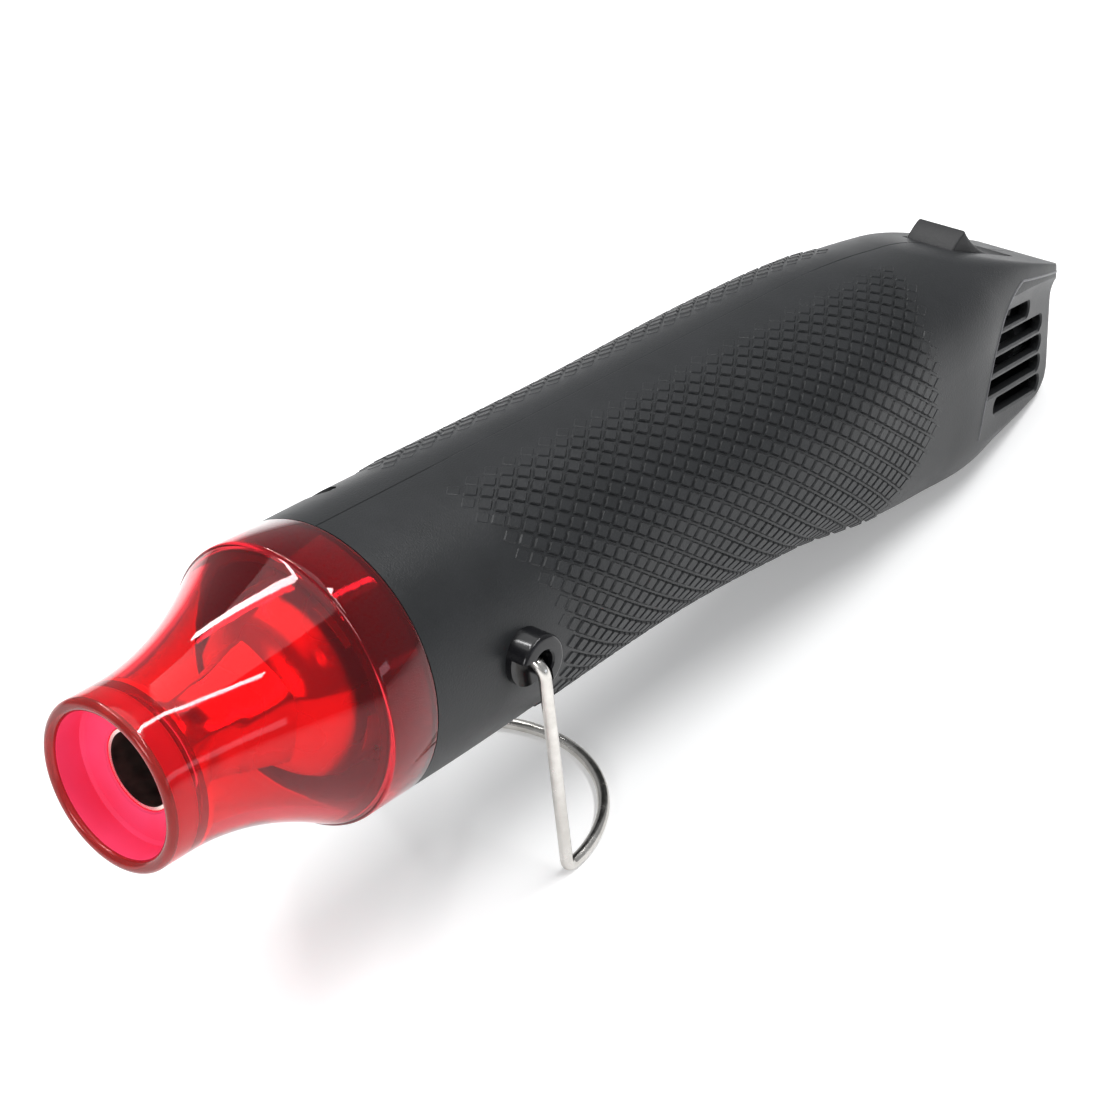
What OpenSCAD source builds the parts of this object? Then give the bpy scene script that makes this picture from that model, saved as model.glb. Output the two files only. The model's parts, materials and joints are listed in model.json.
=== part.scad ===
// Embossing heat tool resting nose-up on its wire stand and on the lower edge of its tail.
// Inside place() the X axis runs rearward along the nozzle, from the mouth rim, and Z is up.

/* [Body] */
// Length of the two shells, from the guard's rear edge to the tail's end face
body_length = 182.8; // [180:0.4:188]
// Radius of the round front end of the body
front_radius = 22.2; // [22.1:0.1:22.6]
// Radius of the waist between the front and the grip
waist_radius = 21.1; // [21:0.1:21.6]
// Half width of the grip at its widest
hip_half_width = 22.4; // [22:0.1:23.4]
// Half width where the tail begins
shoulder_half_width = 19.4; // [19.2:0.1:20]
// Half width of the tail's end face
tail_half_width = 8.8; // [8.6:0.1:9.6]
// Depth of the belly under the nozzle axis
belly_depth = 26.7; // [26:0.1:27.5]
// Depth of the tail block under the nozzle axis
tail_depth = 25.2; // [24.6:0.1:25.5]
// Height of the crown over the nozzle axis at the rear of the grip
crown_height = 19.5; // [19:0.1:20]
// Wall of the shells
wall = 2; // [1.8:0.1:2.2]
// Slope of the switch plateau
plateau_angle = 22; // [21:0.5:23]
// Height of the plateau's rear edge over the nozzle axis
plateau_end_height = 0.5; // [0.2:0.1:1]
// Radius of the tail's lower rear corner
tail_corner_radius = 8; // [6:0.5:9]

/* [Tail vents] */
// Height of each air slot
slot_height = 2.9; // [2.4:0.1:3.1]
// Spacing of the air slots
slot_pitch = 4.05; // [3.9:0.05:4.2]
// Air slots on each side
slot_count = 5; // [4:1:5]
// Fall of the slots towards the rear
slot_angle = 14.5; // [12:0.5:16]
// Angle of each slanted side panel to the axis
panel_angle = 15; // [14.5:0.25:15.5]
// Step from the skin down to the side panel at the end face
panel_step = 1.4; // [1.2:0.1:1.6]
// Radius of the skirt edge in front of the side panel
skirt_radius = 19; // [18.5:0.1:19.5]
// Radius of the cord inlet
inlet_radius = 3.5; // [3:0.1:3.8]
// Length of the cord inlet's wall
inlet_length = 5; // [4:0.5:5.5]
// Height of the cord inlet over the tail's underside
inlet_height = 12.2; // [12:0.1:12.6]

/* [Nozzle guard] */
// Length of the guard from the mouth rim to its rear edge
guard_length = 42.6; // [42.2:0.1:44]
// Outer radius at the mouth
mouth_radius = 13.3; // [13:0.1:14]
// Outer radius of the collar band
collar_radius = 22.3; // [22.2:0.1:22.5]
// Length of the collar band
collar_length = 9.6; // [9:0.1:10]
// Wall of the guard
guard_wall = 1.8; // [1.5:0.1:2]
// Depth of the web behind the mouth rim
web_depth = 5.8; // [5.4:0.1:6.4]
// Thickness of the web
web_thickness = 1.6; // [1.2:0.1:2]

/* [Nozzle and heater] */
// Radius of the air outlet
outlet_radius = 5.8; // [5.4:0.1:6]
// Wall of the metal tube
tube_wall = 0.5; // [0.4:0.05:0.6]
// Outer radius of the heater barrel
barrel_radius = 15; // [14.8:0.1:15]
// Length of the metal tube from its front edge
tube_length = 86.5; // [86:0.5:87]
// Length of the tube's straight outlet
neck_length = 6.5; // [6:0.1:7]
// Length of the cone behind the outlet
cone_length = 14.9; // [14:0.1:15.5]
// Growth of the tube's radius along the cone
cone_growth = 3.5; // [3:0.1:4]
// Length of the tube's shoulder up to the barrel
shoulder_length = 7; // [6.5:0.1:7.4]
// Front of the heater boards behind the tube's front edge
heater_setback = 31.5; // [31:0.5:33]
// Wall of the insulating sleeve
sleeve_wall = 0.5; // [0.3:0.1:0.6]
// Thickness of the heater boards
board_thickness = 0.8; // [0.6:0.1:1]
// Radius of the heating wire
coil_wire_radius = 0.35; // [0.25:0.05:0.4]
// Turns of the heating coil
coil_turns = 12; // [10:1:13]

/* [Fan and motor] */
// Radius of the fan over its blades
fan_radius = 15.4; // [14.5:0.1:15.5]
// Gap between the heater tube and the fan's duct
fan_gap = 10.6; // [10:0.2:12]
// Length of the fan's hub
hub_length = 9.5; // [9:0.5:10.5]
// Length of the fan's duct
shroud_length = 14; // [14:0.2:15]
// Blades of the fan
blade_count = 7; // [5:1:8]
// Pitch of the fan blades
blade_pitch = 35; // [30:1:38]
// Radius of the fan shroud's bore
shroud_radius = 16.2; // [16.1:0.05:16.3]
// Radius of the motor can
motor_radius = 12.2; // [11.8:0.1:12.3]
// Length of the motor can
motor_length = 29.2; // [28.6:0.2:29.6]
// Length of the motor's end cap
cap_length = 4; // [3.6:0.1:4.4]
// Radius of the motor shaft
shaft_radius = 1; // [0.9:0.05:1.15]
// Running clearance of the shaft in its bushes
bush_clearance = 0.05; // [0.03:0.01:0.08]
// Radius of the inner leads
lead_radius = 0.6; // [0.5:0.05:0.65]

/* [Wire stand] */
// Diameter of the stand's wire
wire_diameter = 2; // [1.8:0.1:2.2]
// Pivot behind the front of the body
pivot_setback = 18.7; // [18:0.1:20]
// Foot behind the pivot
foot_setback = 5.4; // [4.5:0.1:6.5]
// Foot under the pivot, to the middle of the wire
foot_drop = 39.5; // [39:0.5:42]
// Radius of the half-round foot
foot_radius = 24; // [23.8:0.1:24.6]
// Radius of the lugs
lug_radius = 4.8; // [4.2:0.1:5]
// Reach of the lugs from the middle plane
lug_reach = 25.8; // [25.6:0.1:26.2]
// Fold of the stand, from its rest to under the nozzle
fold_angle = 100; // [80:1:102]
// Clearance of the wire in the lugs
wire_clearance = 0.08; // [0.05:0.01:0.1]

/* [Switch] */
// Width of the rocker
rocker_width = 10; // [9:0.1:10.4]
// Radius of the rocker's ends about its pivot
rocker_radius = 10.65; // [10.4:0.05:10.8]
// Pivot of the rocker under the plateau
rocker_depth = 4.2; // [4:0.1:4.4]
// Travel of the rocker between its two positions
rocker_travel = 23; // [20:0.5:24]
// Thickness of the rocker over its pivot
rocker_waist = 4.5; // [4.3:0.1:4.8]
// Place of the rocker's pivot in front of the tail's end face
rocker_setback = 20.9; // [20.5:0.1:21.4]
// Wall of the switch body
switch_wall = 1.4; // [1.2:0.1:1.6]
// Depth of the switch body under the pivot
switch_depth = 6.4; // [6:0.2:7]
// Radius of the rocker's pivot pins
rocker_pin_radius = 1; // [0.9:0.05:1.1]

/* [Screws] */
// Radius of the screw shanks
screw_radius = 1.1; // [1:0.05:1.2]
// Radius of the screw heads
head_radius = 2; // [1.8:0.1:2.2]
// Length of the housing screws under the head
screw_length = 14; // [13:0.5:15]
// Radius of the screw posts in the shells
post_radius = 3; // [2.8:0.1:3]

/* [Hidden] */
$fn = 64;
far = 60;
seat = 0.1;
play = 0.15;
clear = 0.3;
wire_radius = wire_diameter / 2;

// Stations along the nozzle axis
body_front = guard_length + seat;
tail_end = body_front + body_length;
waist_at = body_front + 60;
hip_at = body_front + 97;
shoulder_at = tail_end - 38.5;
crown_at = body_front + 117;
crown_fall = 0.14;
taper_start = shoulder_at - 9;
taper_blend = 14;

// Plateau under the rocker
function plateau(u) = plateau_end_height + (tail_end - u) * tan(plateau_angle);
rocker_at = tail_end - rocker_setback;

// Smooth step from 0 at a to 1 at b, and a ramp that starts at a and blends in over a length
function blend(u, a, b) = let (t = max(0, min(1, (u - a) / (b - a)))) t * t * (3 - 2 * t);
function ramp(u, a, run) = u < a ? 0 : u < a + run ? (u - a) * (u - a) / (2 * run) : u - a - run / 2;

// Skin of the body: half width, crown and belly at each station, and the fullness of the section
tail_taper = (shoulder_half_width - tail_half_width) / (tail_end - taper_start - taper_blend / 2);
function half_width(u) = front_radius
    - (front_radius - waist_radius) * blend(u, body_front + 6, waist_at)
    + (hip_half_width - waist_radius) * blend(u, waist_at, hip_at)
    - (hip_half_width - shoulder_half_width) * blend(u, hip_at, shoulder_at)
    - tail_taper * ramp(u, taper_start, taper_blend);
function crown(u) = front_radius
    - (front_radius - crown_height - 0.4) * (u - body_front) / (crown_at - body_front)
    - crown_fall * ramp(u, crown_at - 6, 20);
function belly(u) = front_radius
    - (front_radius - waist_radius) * blend(u, body_front + 6, waist_at)
    + (belly_depth - waist_radius) * blend(u, waist_at + 3, shoulder_at - 4)
    - (belly_depth - tail_depth) * blend(u, shoulder_at - 4, shoulder_at + 14);
function crown_power(u) = 2 + 0.3 * blend(u, hip_at + 4, rocker_at);
function belly_power(u) = 2
    + 1.1 * blend(u, waist_at + 35, shoulder_at - 14)
    + 3.4 * blend(u, hip_at + 29, tail_end - 2);

// Nozzle and heater stations
tube_front = web_depth - 0.2;
tube_rear = tube_front + tube_length;
tube_radius = outlet_radius + tube_wall;
cone_end = tube_front + neck_length + cone_length;
spigot_radius = collar_radius - guard_wall - seat;
spigot_bore = spigot_radius - wall;
spigot_front = guard_length - collar_length + 1;
sleeve_radius = barrel_radius - tube_wall - seat;
board_radius = sleeve_radius - sleeve_wall - seat;
coil_radius = board_radius - 1.35;
board_front = tube_front + heater_setback;
board_rear = tube_rear - 1.7;
disc_thickness = 1.5;
flange_thickness = 1;
flange_at = body_front + 3.5;
rib = 1.5;

// Fan and motor stations
fan_front = tube_rear + fan_gap;
shroud_wall = 0.7;
mount_at = fan_front + shroud_length;
mount_thickness = 1.6;
motor_front = mount_at + mount_thickness;
motor_rear = motor_front + motor_length;
can_wall = 0.5;
cap_rear = motor_rear + cap_length;
pcb_at = cap_rear + 2.3;
pcb_thickness = 1.5;
pcb_radius = motor_radius - 0.7;
pcb_rear = pcb_at + pcb_thickness;
bush_radius = 3;
commutator_radius = 3;
magnet_inner = motor_radius - 3;
core_radius = magnet_inner - 0.6;
lead_ring = shroud_radius + shroud_wall + lead_radius + 0.3;
tab_offset = 7;
tab_width = 2.4;
tab_thickness = 0.5;

// Wire stand: pivot, foot corner and the tilt at which foot and tail rest on one plane
pivot_at = body_front + pivot_setback;
foot_at = pivot_at + foot_setback;
leg_offset = lug_reach - 0.4 - wire_radius;
leg_angle = atan2(foot_setback, foot_drop);
pin_end = front_radius - wall - 2.6;
lug_base = leg_offset - wire_radius - 0.2;
corner_at = tail_end - tail_corner_radius;
corner_drop = tail_depth - tail_corner_radius;
lean_run = corner_at - foot_at;
lean_rise = foot_drop - corner_drop;
tilt = acos((tail_corner_radius - wire_radius) / norm([lean_run, lean_rise])) - atan2(lean_run, lean_rise);
lift = wire_radius + foot_at * sin(tilt) + foot_drop * cos(tilt);
lip_radius = 1;
reach_front = lip_radius * cos(tilt) - (mouth_radius - lip_radius) * sin(tilt) - lip_radius;
reach_rear = tail_end * cos(tilt) + plateau_end_height * sin(tilt);

// Side panel of the tail and the skirt edge in front of it
skirt_at = tail_end - 20.9;
skirt_drop = 10.5;
roof_drop = 1.2;
roof_slope = 17;
function panel_offset(u) = tail_half_width - panel_step + (tail_end - u) * tan(panel_angle);
inlet_drop = tail_depth - inlet_height;

// Screws: place along the axis and height of each housing screw
front_post_height = front_radius - wall - 2;
rear_post_at = pcb_rear + 9;
housing_screw_places = [
    [flange_at + 8.4, front_post_height],
    [flange_at + 8.4, -front_post_height],
    [rear_post_at, 12.6],
    [rear_post_at, -19.4],
    [shoulder_at - 3, -4]
];
head_height = 1.6;
clamp_at = tail_end - inlet_length - 4.5;
clamp_length = 5;
clamp_post_radius = 2.4;
clamp_margin = 1.9;
clamp_seat = inlet_radius - 0.5;
clamp_thickness = 1.8;
clamp_head_height = 1;
clamp_spread = inlet_radius + 0.6 + clamp_post_radius;
clamp_screw_length = 7;

module place() {
    translate([-(reach_front + reach_rear) / 2, 0, lift])
        rotate([0, tilt, 0])
            children();
}

module spin(points) {
    rotate([0, 90, 0])
        rotate_extrude($fn = 96)
            polygon(points);
}

module disc(at, length, radius) {
    translate([at, 0, 0])
        rotate([0, 90, 0])
            cylinder(h = length, r = radius);
}

// A bar from one point to another
module rod(from, to, radius) {
    run = to - from;
    translate(from)
        rotate([0, acos(run[2] / norm(run)), atan2(run[1], run[0])])
            cylinder(h = norm(run), r = radius);
}

// A cylinder across the body, from y = a to y = b
module cross_pin(u, z, a, b, radius) {
    translate([u, b, z])
        rotate([90, 0, 0])
            cylinder(h = b - a, r = radius);
}

// A side-view outline drawn in X and Z, carried from y = a to y = b
module side_view(a, b) {
    translate([0, b, 0])
        rotate([90, 0, 0])
            linear_extrude(height = b - a)
                children();
}

module at_plateau() {
    translate([rocker_at, 0, plateau(rocker_at)])
        rotate([0, plateau_angle, 0])
            children();
}

// Half sections of the skin, closed along a plane that lies over by the overshoot
arc_steps = 22;
stations = concat(
    [for (t = [0 : 1 : 7]) body_front + t * (waist_at + 6 - body_front) / 7],
    [for (t = [1 : 1 : 11]) waist_at + 6 + t * (taper_start - waist_at - 6) / 11],
    [for (t = [1 : 1 : 9]) taper_start + t * (tail_end - taper_start) / 9]
);
function skin_point(u, angle, inset) = let (
        power = angle < 90 ? crown_power(u) : belly_power(u),
        rise = (angle < 90 ? crown(u) : belly(u)) - inset,
        across = (half_width(u) - inset) * pow(abs(sin(angle)), 2 / power),
        up = rise * pow(abs(cos(angle)), 2 / power) * (angle < 90 ? 1 : -1)
    ) [u, across, up];
module half_skin(side, inset, overshoot, from_front) {
    places = from_front ? concat([body_front - seat], [for (k = [1 : 1 : len(stations) - 1]) stations[k]])
                        : stations;
    ring = arc_steps + 1;
    arcs = [for (u = places) [for (k = [0 : 1 : arc_steps])
        let (p = skin_point(u, 180 * k / arc_steps, inset)) [p[0], max(p[1], 0) * side, p[2]]]];
    edges = [for (row = arcs) overshoot == 0 ? row : concat(
        [[row[0][0], -side * overshoot, row[0][2]]], row, [[row[0][0], -side * overshoot, row[ring - 1][2]]])];
    n = len(edges[0]);
    m = len(edges);
    points = [for (row = edges) for (p = row) p];
    skin = [for (i = [0 : 1 : m - 2]) for (k = [0 : 1 : n - 1])
        let (a = i * n + k, b = i * n + (k + 1) % n, c = a + n, d = b + n)
        for (face = side < 0 ? [[a, c, b], [b, c, d]] : [[a, b, c], [b, d, c]]) face];
    front = [for (k = [0 : 1 : n - 1]) k];
    rear = [for (k = [0 : 1 : n - 1]) (m - 1) * n + n - 1 - k];
    back_front = [for (k = [n - 1 : -1 : 0]) k];
    back_rear = [for (k = [0 : 1 : n - 1]) (m - 1) * n + k];
    polyhedron(points, concat(skin, side < 0 ? [front, rear] : [back_front, back_rear]));
}

// Tail regions that are cut from the skin, or kept out of the hollow at the given depth of wall
module over_plateau(inset) {
    translate([tail_end, 0, plateau_end_height])
        rotate([0, plateau_angle, 0])
            translate([-far, -far, -inset])
                cube([2 * far, 2 * far, far]);
}
module skirt_outline() {
    intersection() {
        union() {
            translate([skirt_at, -skirt_drop])
                circle(r = skirt_radius, $fn = 96);
            translate([skirt_at, -far])
                square([far, 2 * far]);
        }
        translate([tail_end, -roof_drop])
            rotate(-roof_slope)
                translate([-far, -far])
                    square([2 * far, far]);
    }
}
module beside_panel(side, inset) {
    translate([0, 0, -far])
        linear_extrude(height = 2 * far)
            polygon([
                [tail_end - far, side * (panel_offset(tail_end - far) - inset)],
                [tail_end + wall, side * (panel_offset(tail_end + wall) - inset)],
                [tail_end + wall, side * far],
                [tail_end - far, side * far]
            ]);
}
module side_recess(side) {
    intersection() {
        side_view(-far, far) skirt_outline();
        beside_panel(side, 0);
    }
}
module tail_underside() {
    side_view(-far, far)
        difference() {
            translate([skirt_at - skirt_radius / 2, -far])
                square([far, far - tail_depth + tail_corner_radius]);
            translate([skirt_at - skirt_radius / 2 - seat, -tail_depth])
                square([corner_at - skirt_at + skirt_radius / 2 + seat, tail_corner_radius + seat]);
            translate([corner_at, -corner_drop])
                circle(r = tail_corner_radius);
        }
}
slot_middle = tail_end - 18.4;
first_slot_drop = 1.5;
module air_slots(side) {
    intersection() {
        side_view(-far, far)
            intersection() {
                skirt_outline();
                for (k = [0 : 1 : slot_count - 1])
                    translate([slot_middle, -first_slot_drop - k * slot_pitch])
                        rotate(-slot_angle)
                            slot_shape(k == slot_count - 1 ? -12.5 : -far / 2, k == 0 ? 3.2 : 11.2);
            }
        beside_panel(side, wall + clear);
    }
}
module slot_shape(from, to) {
    translate([from, -slot_height / 2])
        square([to - from, slot_height]);
    for (end = [from, to])
        translate([end, 0])
            circle(r = slot_height / 2, $fn = 48);
}

// Ribs and posts that stand in the hollow
module ring_rib(at, bore) {
    difference() {
        disc(at, rib, far / 2);
        disc(at - seat, rib + 2 * seat, bore);
    }
}
module corner_ribs(at, bore) {
    intersection() {
        ring_rib(at, bore);
        for (turn = [45, 135, 225, 315])
            rotate([turn, 0, 0])
                translate([at - seat, -2.5, 0])
                    cube([rib + 2 * seat, 5, far]);
    }
}
module screw_posts() {
    for (p = housing_screw_places)
        cross_pin(p[0], p[1], -far / 2, far / 2, post_radius);
}
module clamp_posts(a, b) {
    for (side = [-1, 1])
        cross_pin(clamp_at, -inlet_drop + side * clamp_spread, a, b, clamp_post_radius);
}
module inner_frame() {
    ring_rib(flange_at + flange_thickness + play, spigot_bore - 1);
    ring_rib(tube_rear - 3.5, barrel_radius + seat);
    ring_rib(tube_rear + play, barrel_radius - 2);
    corner_ribs(fan_front - rib - play, shroud_radius - 0.3);
    corner_ribs(fan_front + 6, shroud_radius + shroud_wall + seat);
    corner_ribs(mount_at + mount_thickness + play, shroud_radius - 0.3);
    corner_ribs(motor_rear - 5, motor_radius + seat);
    screw_posts();
    for (side = [-1, 1])
        cross_pin(pivot_at, 0, side > 0 ? front_radius - wall - 3 : -far / 2,
            side > 0 ? far / 2 : -(front_radius - wall - 3), wire_radius + 2);
    translate([0, 0, -inlet_drop])
        disc(tail_end - inlet_length, inlet_length + wall, inlet_radius + 2);
    at_plateau()
        for (end = [-1, 1])
            translate([end * (switch_half_length - 1.5) - 1, -far / 2, -rocker_depth - switch_depth - seat - 2])
                cube([2, far, 2]);
}

module hollow(side) {
    difference() {
        half_skin(side, wall, 1, true);
        over_plateau(wall);
        beside_tail(side);
        translate([tail_end - wall, -far, -far])
            cube([far, 2 * far, 2 * far]);
        side_view(-far, far)
            translate([skirt_at - skirt_radius / 2, -far])
                square([far, far - tail_depth + wall]);
        tail_inside_corner();
        inner_frame();
        if (side < 0)
            clamp_posts(-far / 2, wall);
    }
}
module beside_tail(side) {
    intersection() {
        beside_panel(side, wall);
        translate([skirt_at - skirt_radius - wall, -far, -far])
            cube([far, 2 * far, 2 * far]);
    }
}
module tail_inside_corner() {
    side_view(-far, far)
        difference() {
            translate([corner_at, -tail_depth - wall])
                square([far, tail_corner_radius + wall]);
            translate([corner_at, -corner_drop])
                circle(r = tail_corner_radius - wall);
        }
}
module spigot() {
    spin([
        [spigot_bore, spigot_front],
        [spigot_radius, spigot_front],
        [spigot_radius, body_front + seat],
        [spigot_radius + 0.5, body_front + seat],
        [front_radius - wall + 0.5, flange_at],
        [spigot_bore, flange_at]
    ]);
}

module shell_cuts() {
    cross_pin(pivot_at, 0, -far, far, wire_radius + wire_clearance);
    translate([0, 0, -inlet_drop])
        disc(tail_end - inlet_length - wall, inlet_length + 2 * wall, inlet_radius);
    at_plateau()
        translate([-window_half_length, -rocker_width / 2 - clear, -wall - 1])
            cube([2 * window_half_length, rocker_width + 2 * clear, far / 2]);
}
// Side view of the room that the leg sweeps, with its pivot at the origin
function along(angle) = [sin(angle), -cos(angle)];
function beside(angle) = [cos(angle), sin(angle)];
module leg_sweep() {
    half = wire_radius + clear;
    folded = leg_angle - fold_angle;
    circle(r = 2 * wire_radius);
    polygon([
        half * beside(leg_angle),
        half * beside(leg_angle) + far * along(leg_angle),
        2 * far * along(leg_angle - fold_angle / 2),
        -half * beside(folded) + far * along(folded),
        -half * beside(folded)
    ]);
}
module lug(side) {
    difference() {
        cross_pin(pivot_at, 0, side > 0 ? front_radius - wall : -lug_reach,
            side > 0 ? lug_reach : -(front_radius - wall), lug_radius);
        side_view(side > 0 ? lug_base : -far, side > 0 ? far : -lug_base)
            translate([pivot_at, 0])
                leg_sweep();
    }
}
module half_shell(side) {
    difference() {
        union() {
            difference() {
                half_skin(side, 0, 0, false);
                hollow(side);
                over_plateau(0);
                side_recess(side);
                tail_underside();
                air_slots(side);
            }
            intersection() {
                spigot();
                translate([0, side > 0 ? 0 : -far, -far])
                    cube([2 * far, far, 2 * far]);
            }
            lug(side);
        }
        shell_cuts();
    }
}

module shell_left() {
    color([0.16, 0.16, 0.17])
        place()
            difference() {
                union() {
                    half_shell(-1);
                    clamp_posts(-0.5, clamp_seat);
                }
                for (p = housing_screw_places)
                    cross_pin(p[0], p[1], -screw_length / 2 - 1, 1, screw_radius);
                for (s = [-1, 1])
                    cross_pin(clamp_at, -inlet_drop + s * clamp_spread,
                        clamp_seat + clamp_thickness - clamp_screw_length - 0.5, clamp_seat + 1, screw_radius);
            }
}
module shell_right() {
    color([0.16, 0.16, 0.17])
        place()
            difference() {
                half_shell(1);
                for (p = housing_screw_places) {
                    cross_pin(p[0], p[1], -1, far, screw_radius + play);
                    cross_pin(p[0], p[1], screw_length / 2, far, head_radius + 0.2);
                }
            }
}

module nozzle_guard() {
    flare_start = 6;
    flare_end = guard_length - collar_length;
    shoulder = 1.2;
    flare = [for (t = [0 : 1 : 10]) let (s = t / 10)
        [mouth_radius + (collar_radius - shoulder - mouth_radius + 0.6) * s * s,
         flare_start + (flare_end - flare_start) * s]];
    bore = [for (t = [10 : -1 : 2]) let (s = t / 10)
        [flare[t][0] - guard_wall, flare[t][1] + guard_wall * 0.4]];
    hole = tube_radius + play;
    color([0.75, 0.05, 0.08, 0.6])
        place()
            spin(concat(
                [[mouth_radius - 2 * lip_radius, web_depth], [mouth_radius - 2 * lip_radius, lip_radius]],
                lip_arc(),
                flare,
                [[collar_radius - 0.3, flare_end + shoulder * 0.4], [collar_radius, flare_end + shoulder],
                 [collar_radius, guard_length - 0.3], [collar_radius - 0.3, guard_length],
                 [spigot_radius + seat, guard_length], [spigot_radius + seat, spigot_front - seat]],
                bore,
                [[flare[1][0] - guard_wall, web_depth + web_thickness], [hole, web_depth + web_thickness],
                 [hole, web_depth]]
            ));
}
function lip_arc() = [for (a = [0 : 30 : 180])
    [mouth_radius - lip_radius - lip_radius * cos(a), lip_radius - lip_radius * sin(a)]];

module nozzle_tube() {
    outline = [
        [tube_radius, tube_front],
        [tube_radius, tube_front + neck_length],
        [tube_radius + cone_growth, cone_end],
        [barrel_radius - 2.4, cone_end + 0.23 * shoulder_length],
        [barrel_radius, cone_end + shoulder_length],
        [barrel_radius, tube_rear]
    ];
    color([0.72, 0.72, 0.74])
        place()
            spin(concat(outline, [for (k = [len(outline) - 1 : -1 : 0]) [outline[k][0] - tube_wall, outline[k][1]]]));
}

module nozzle_flange() {
    color([0.7, 0.7, 0.72])
        place()
            difference() {
                disc(flange_at + seat / 2, flange_thickness, front_radius - wall - 0.35);
                disc(flange_at - seat, flange_thickness + 3 * seat, barrel_radius + 0.05);
                for (turn = [0 : 60 : 300])
                    rotate([turn + 30, 0, 0])
                        translate([0, 0, (barrel_radius + spigot_bore) / 2])
                            disc(flange_at - seat, flange_thickness + 3 * seat, 1);
            }
}

module mica_sleeve() {
    color([0.78, 0.7, 0.52])
        place()
            difference() {
                disc(board_front - 1, tube_rear - board_front - 0.6, sleeve_radius);
                disc(board_front - 2, tube_rear - board_front + 2, sleeve_radius - sleeve_wall);
            }
}

// Outline of one heater board: full width at both ends, narrower under the coil
module board_outline() {
    translate([board_front, -board_radius])
        square([4, 2 * board_radius]);
    translate([board_rear - 4, -board_radius])
        square([4, 2 * board_radius]);
    translate([board_front, -coil_radius])
        square([board_rear - board_front, 2 * coil_radius]);
}
module mica_board_upright() {
    middle = (board_front + board_rear) / 2;
    color([0.75, 0.66, 0.48])
        place()
            side_view(-board_thickness / 2, board_thickness / 2)
                difference() {
                    board_outline();
                    translate([middle, -board_thickness / 2 - 0.05])
                        square([board_rear - middle + 1, board_thickness + 0.1]);
                }
}
module mica_board_flat() {
    middle = (board_front + board_rear) / 2;
    color([0.75, 0.66, 0.48])
        place()
            translate([0, 0, -board_thickness / 2])
                linear_extrude(height = board_thickness)
                    difference() {
                        board_outline();
                        translate([board_front - 1, -board_thickness / 2 - 0.05])
                            square([middle - board_front + 1, board_thickness + 0.1]);
                    }
}

module heater_coil() {
    steps = 16;
    sides = 6;
    first = board_front + 6;
    last = board_rear - 6;
    count = coil_turns * steps;
    ring_at = coil_radius + coil_wire_radius + 0.1;
    points = [for (i = [0 : 1 : count]) for (k = [0 : 1 : sides - 1])
        let (turn = 360 * i / steps, r = ring_at + coil_wire_radius * cos(60 * k))
        [first + (last - first) * i / count + coil_wire_radius * sin(60 * k), r * cos(turn), r * sin(turn)]];
    skin = [for (i = [0 : 1 : count - 1]) for (k = [0 : 1 : sides - 1])
        let (a = i * sides + k, b = i * sides + (k + 1) % sides)
        for (face = [[a, b, a + sides], [b, b + sides, a + sides]]) face];
    color([0.6, 0.58, 0.55])
        place()
            polyhedron(points, concat(skin,
                [[for (k = [sides - 1 : -1 : 0]) k], [for (k = [0 : 1 : sides - 1]) count * sides + k]]));
}

module heater_end_disc() {
    color([0.85, 0.82, 0.74])
        place()
            difference() {
                disc(board_rear + seat, disc_thickness, sleeve_radius);
                for (turn = [45 : 90 : 315])
                    rotate([turn, 0, 0])
                        translate([0, 0, sleeve_radius * 0.6])
                            disc(board_rear - seat, disc_thickness + 4 * seat, 3.6);
            }
}

module thermal_cutout() {
    color([0.7, 0.65, 0.55])
        place()
            translate([board_rear - 20, board_thickness / 2, 3])
                cube([12, 3.4, 5]);
}
module thermal_fuse() {
    color([0.8, 0.78, 0.7])
        place()
            rod([board_rear - 20, -board_thickness / 2 - 1.25, 5], [board_rear - 10, -board_thickness / 2 - 1.25, 5], 1.2);
}

// Two leads, each along the lower side from the heater's end disc to the rectifier board
lead_turn = 20;
module heater_leads() {
    start = board_rear + seat + disc_thickness;
    first = start + 3;
    last = pcb_at - 0.05;
    drop_radius = lead_radius - 0.05;
    color([0.8, 0.8, 0.78])
        place()
            for (side = [-1, 1])
                rotate([180 + side * lead_turn, 0, 0]) {
                    translate([0, 0, lead_ring])
                        disc(first, last - first, lead_radius);
                    for (drop = [[first + lead_radius, 10], [last - lead_radius, pcb_radius - 2]])
                        rod([drop[0], 0, lead_ring], [drop[0], 0, drop[1]], drop_radius);
                    translate([0, 0, 10.5])
                        disc(start, first + lead_radius - start, drop_radius - 0.05);
                }
}

module fan_impeller() {
    root = 3.2;
    blade_chord = 9;
    color([0.2, 0.2, 0.22])
        place()
            difference() {
                union() {
                    disc(fan_front + 0.8, hub_length, root + 1);
                    for (k = [0 : 1 : blade_count - 1])
                        rotate([360 * k / blade_count, 0, 0])
                            translate([fan_front + 0.8 + hub_length / 2, 0, root])
                                rotate([0, 0, blade_pitch])
                                    translate([-blade_chord / 2, -0.5, 0])
                                        cube([blade_chord, 1, fan_radius - root]);
                }
                disc(fan_front - 1, hub_length + 4, shaft_radius);
            }
}

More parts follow.
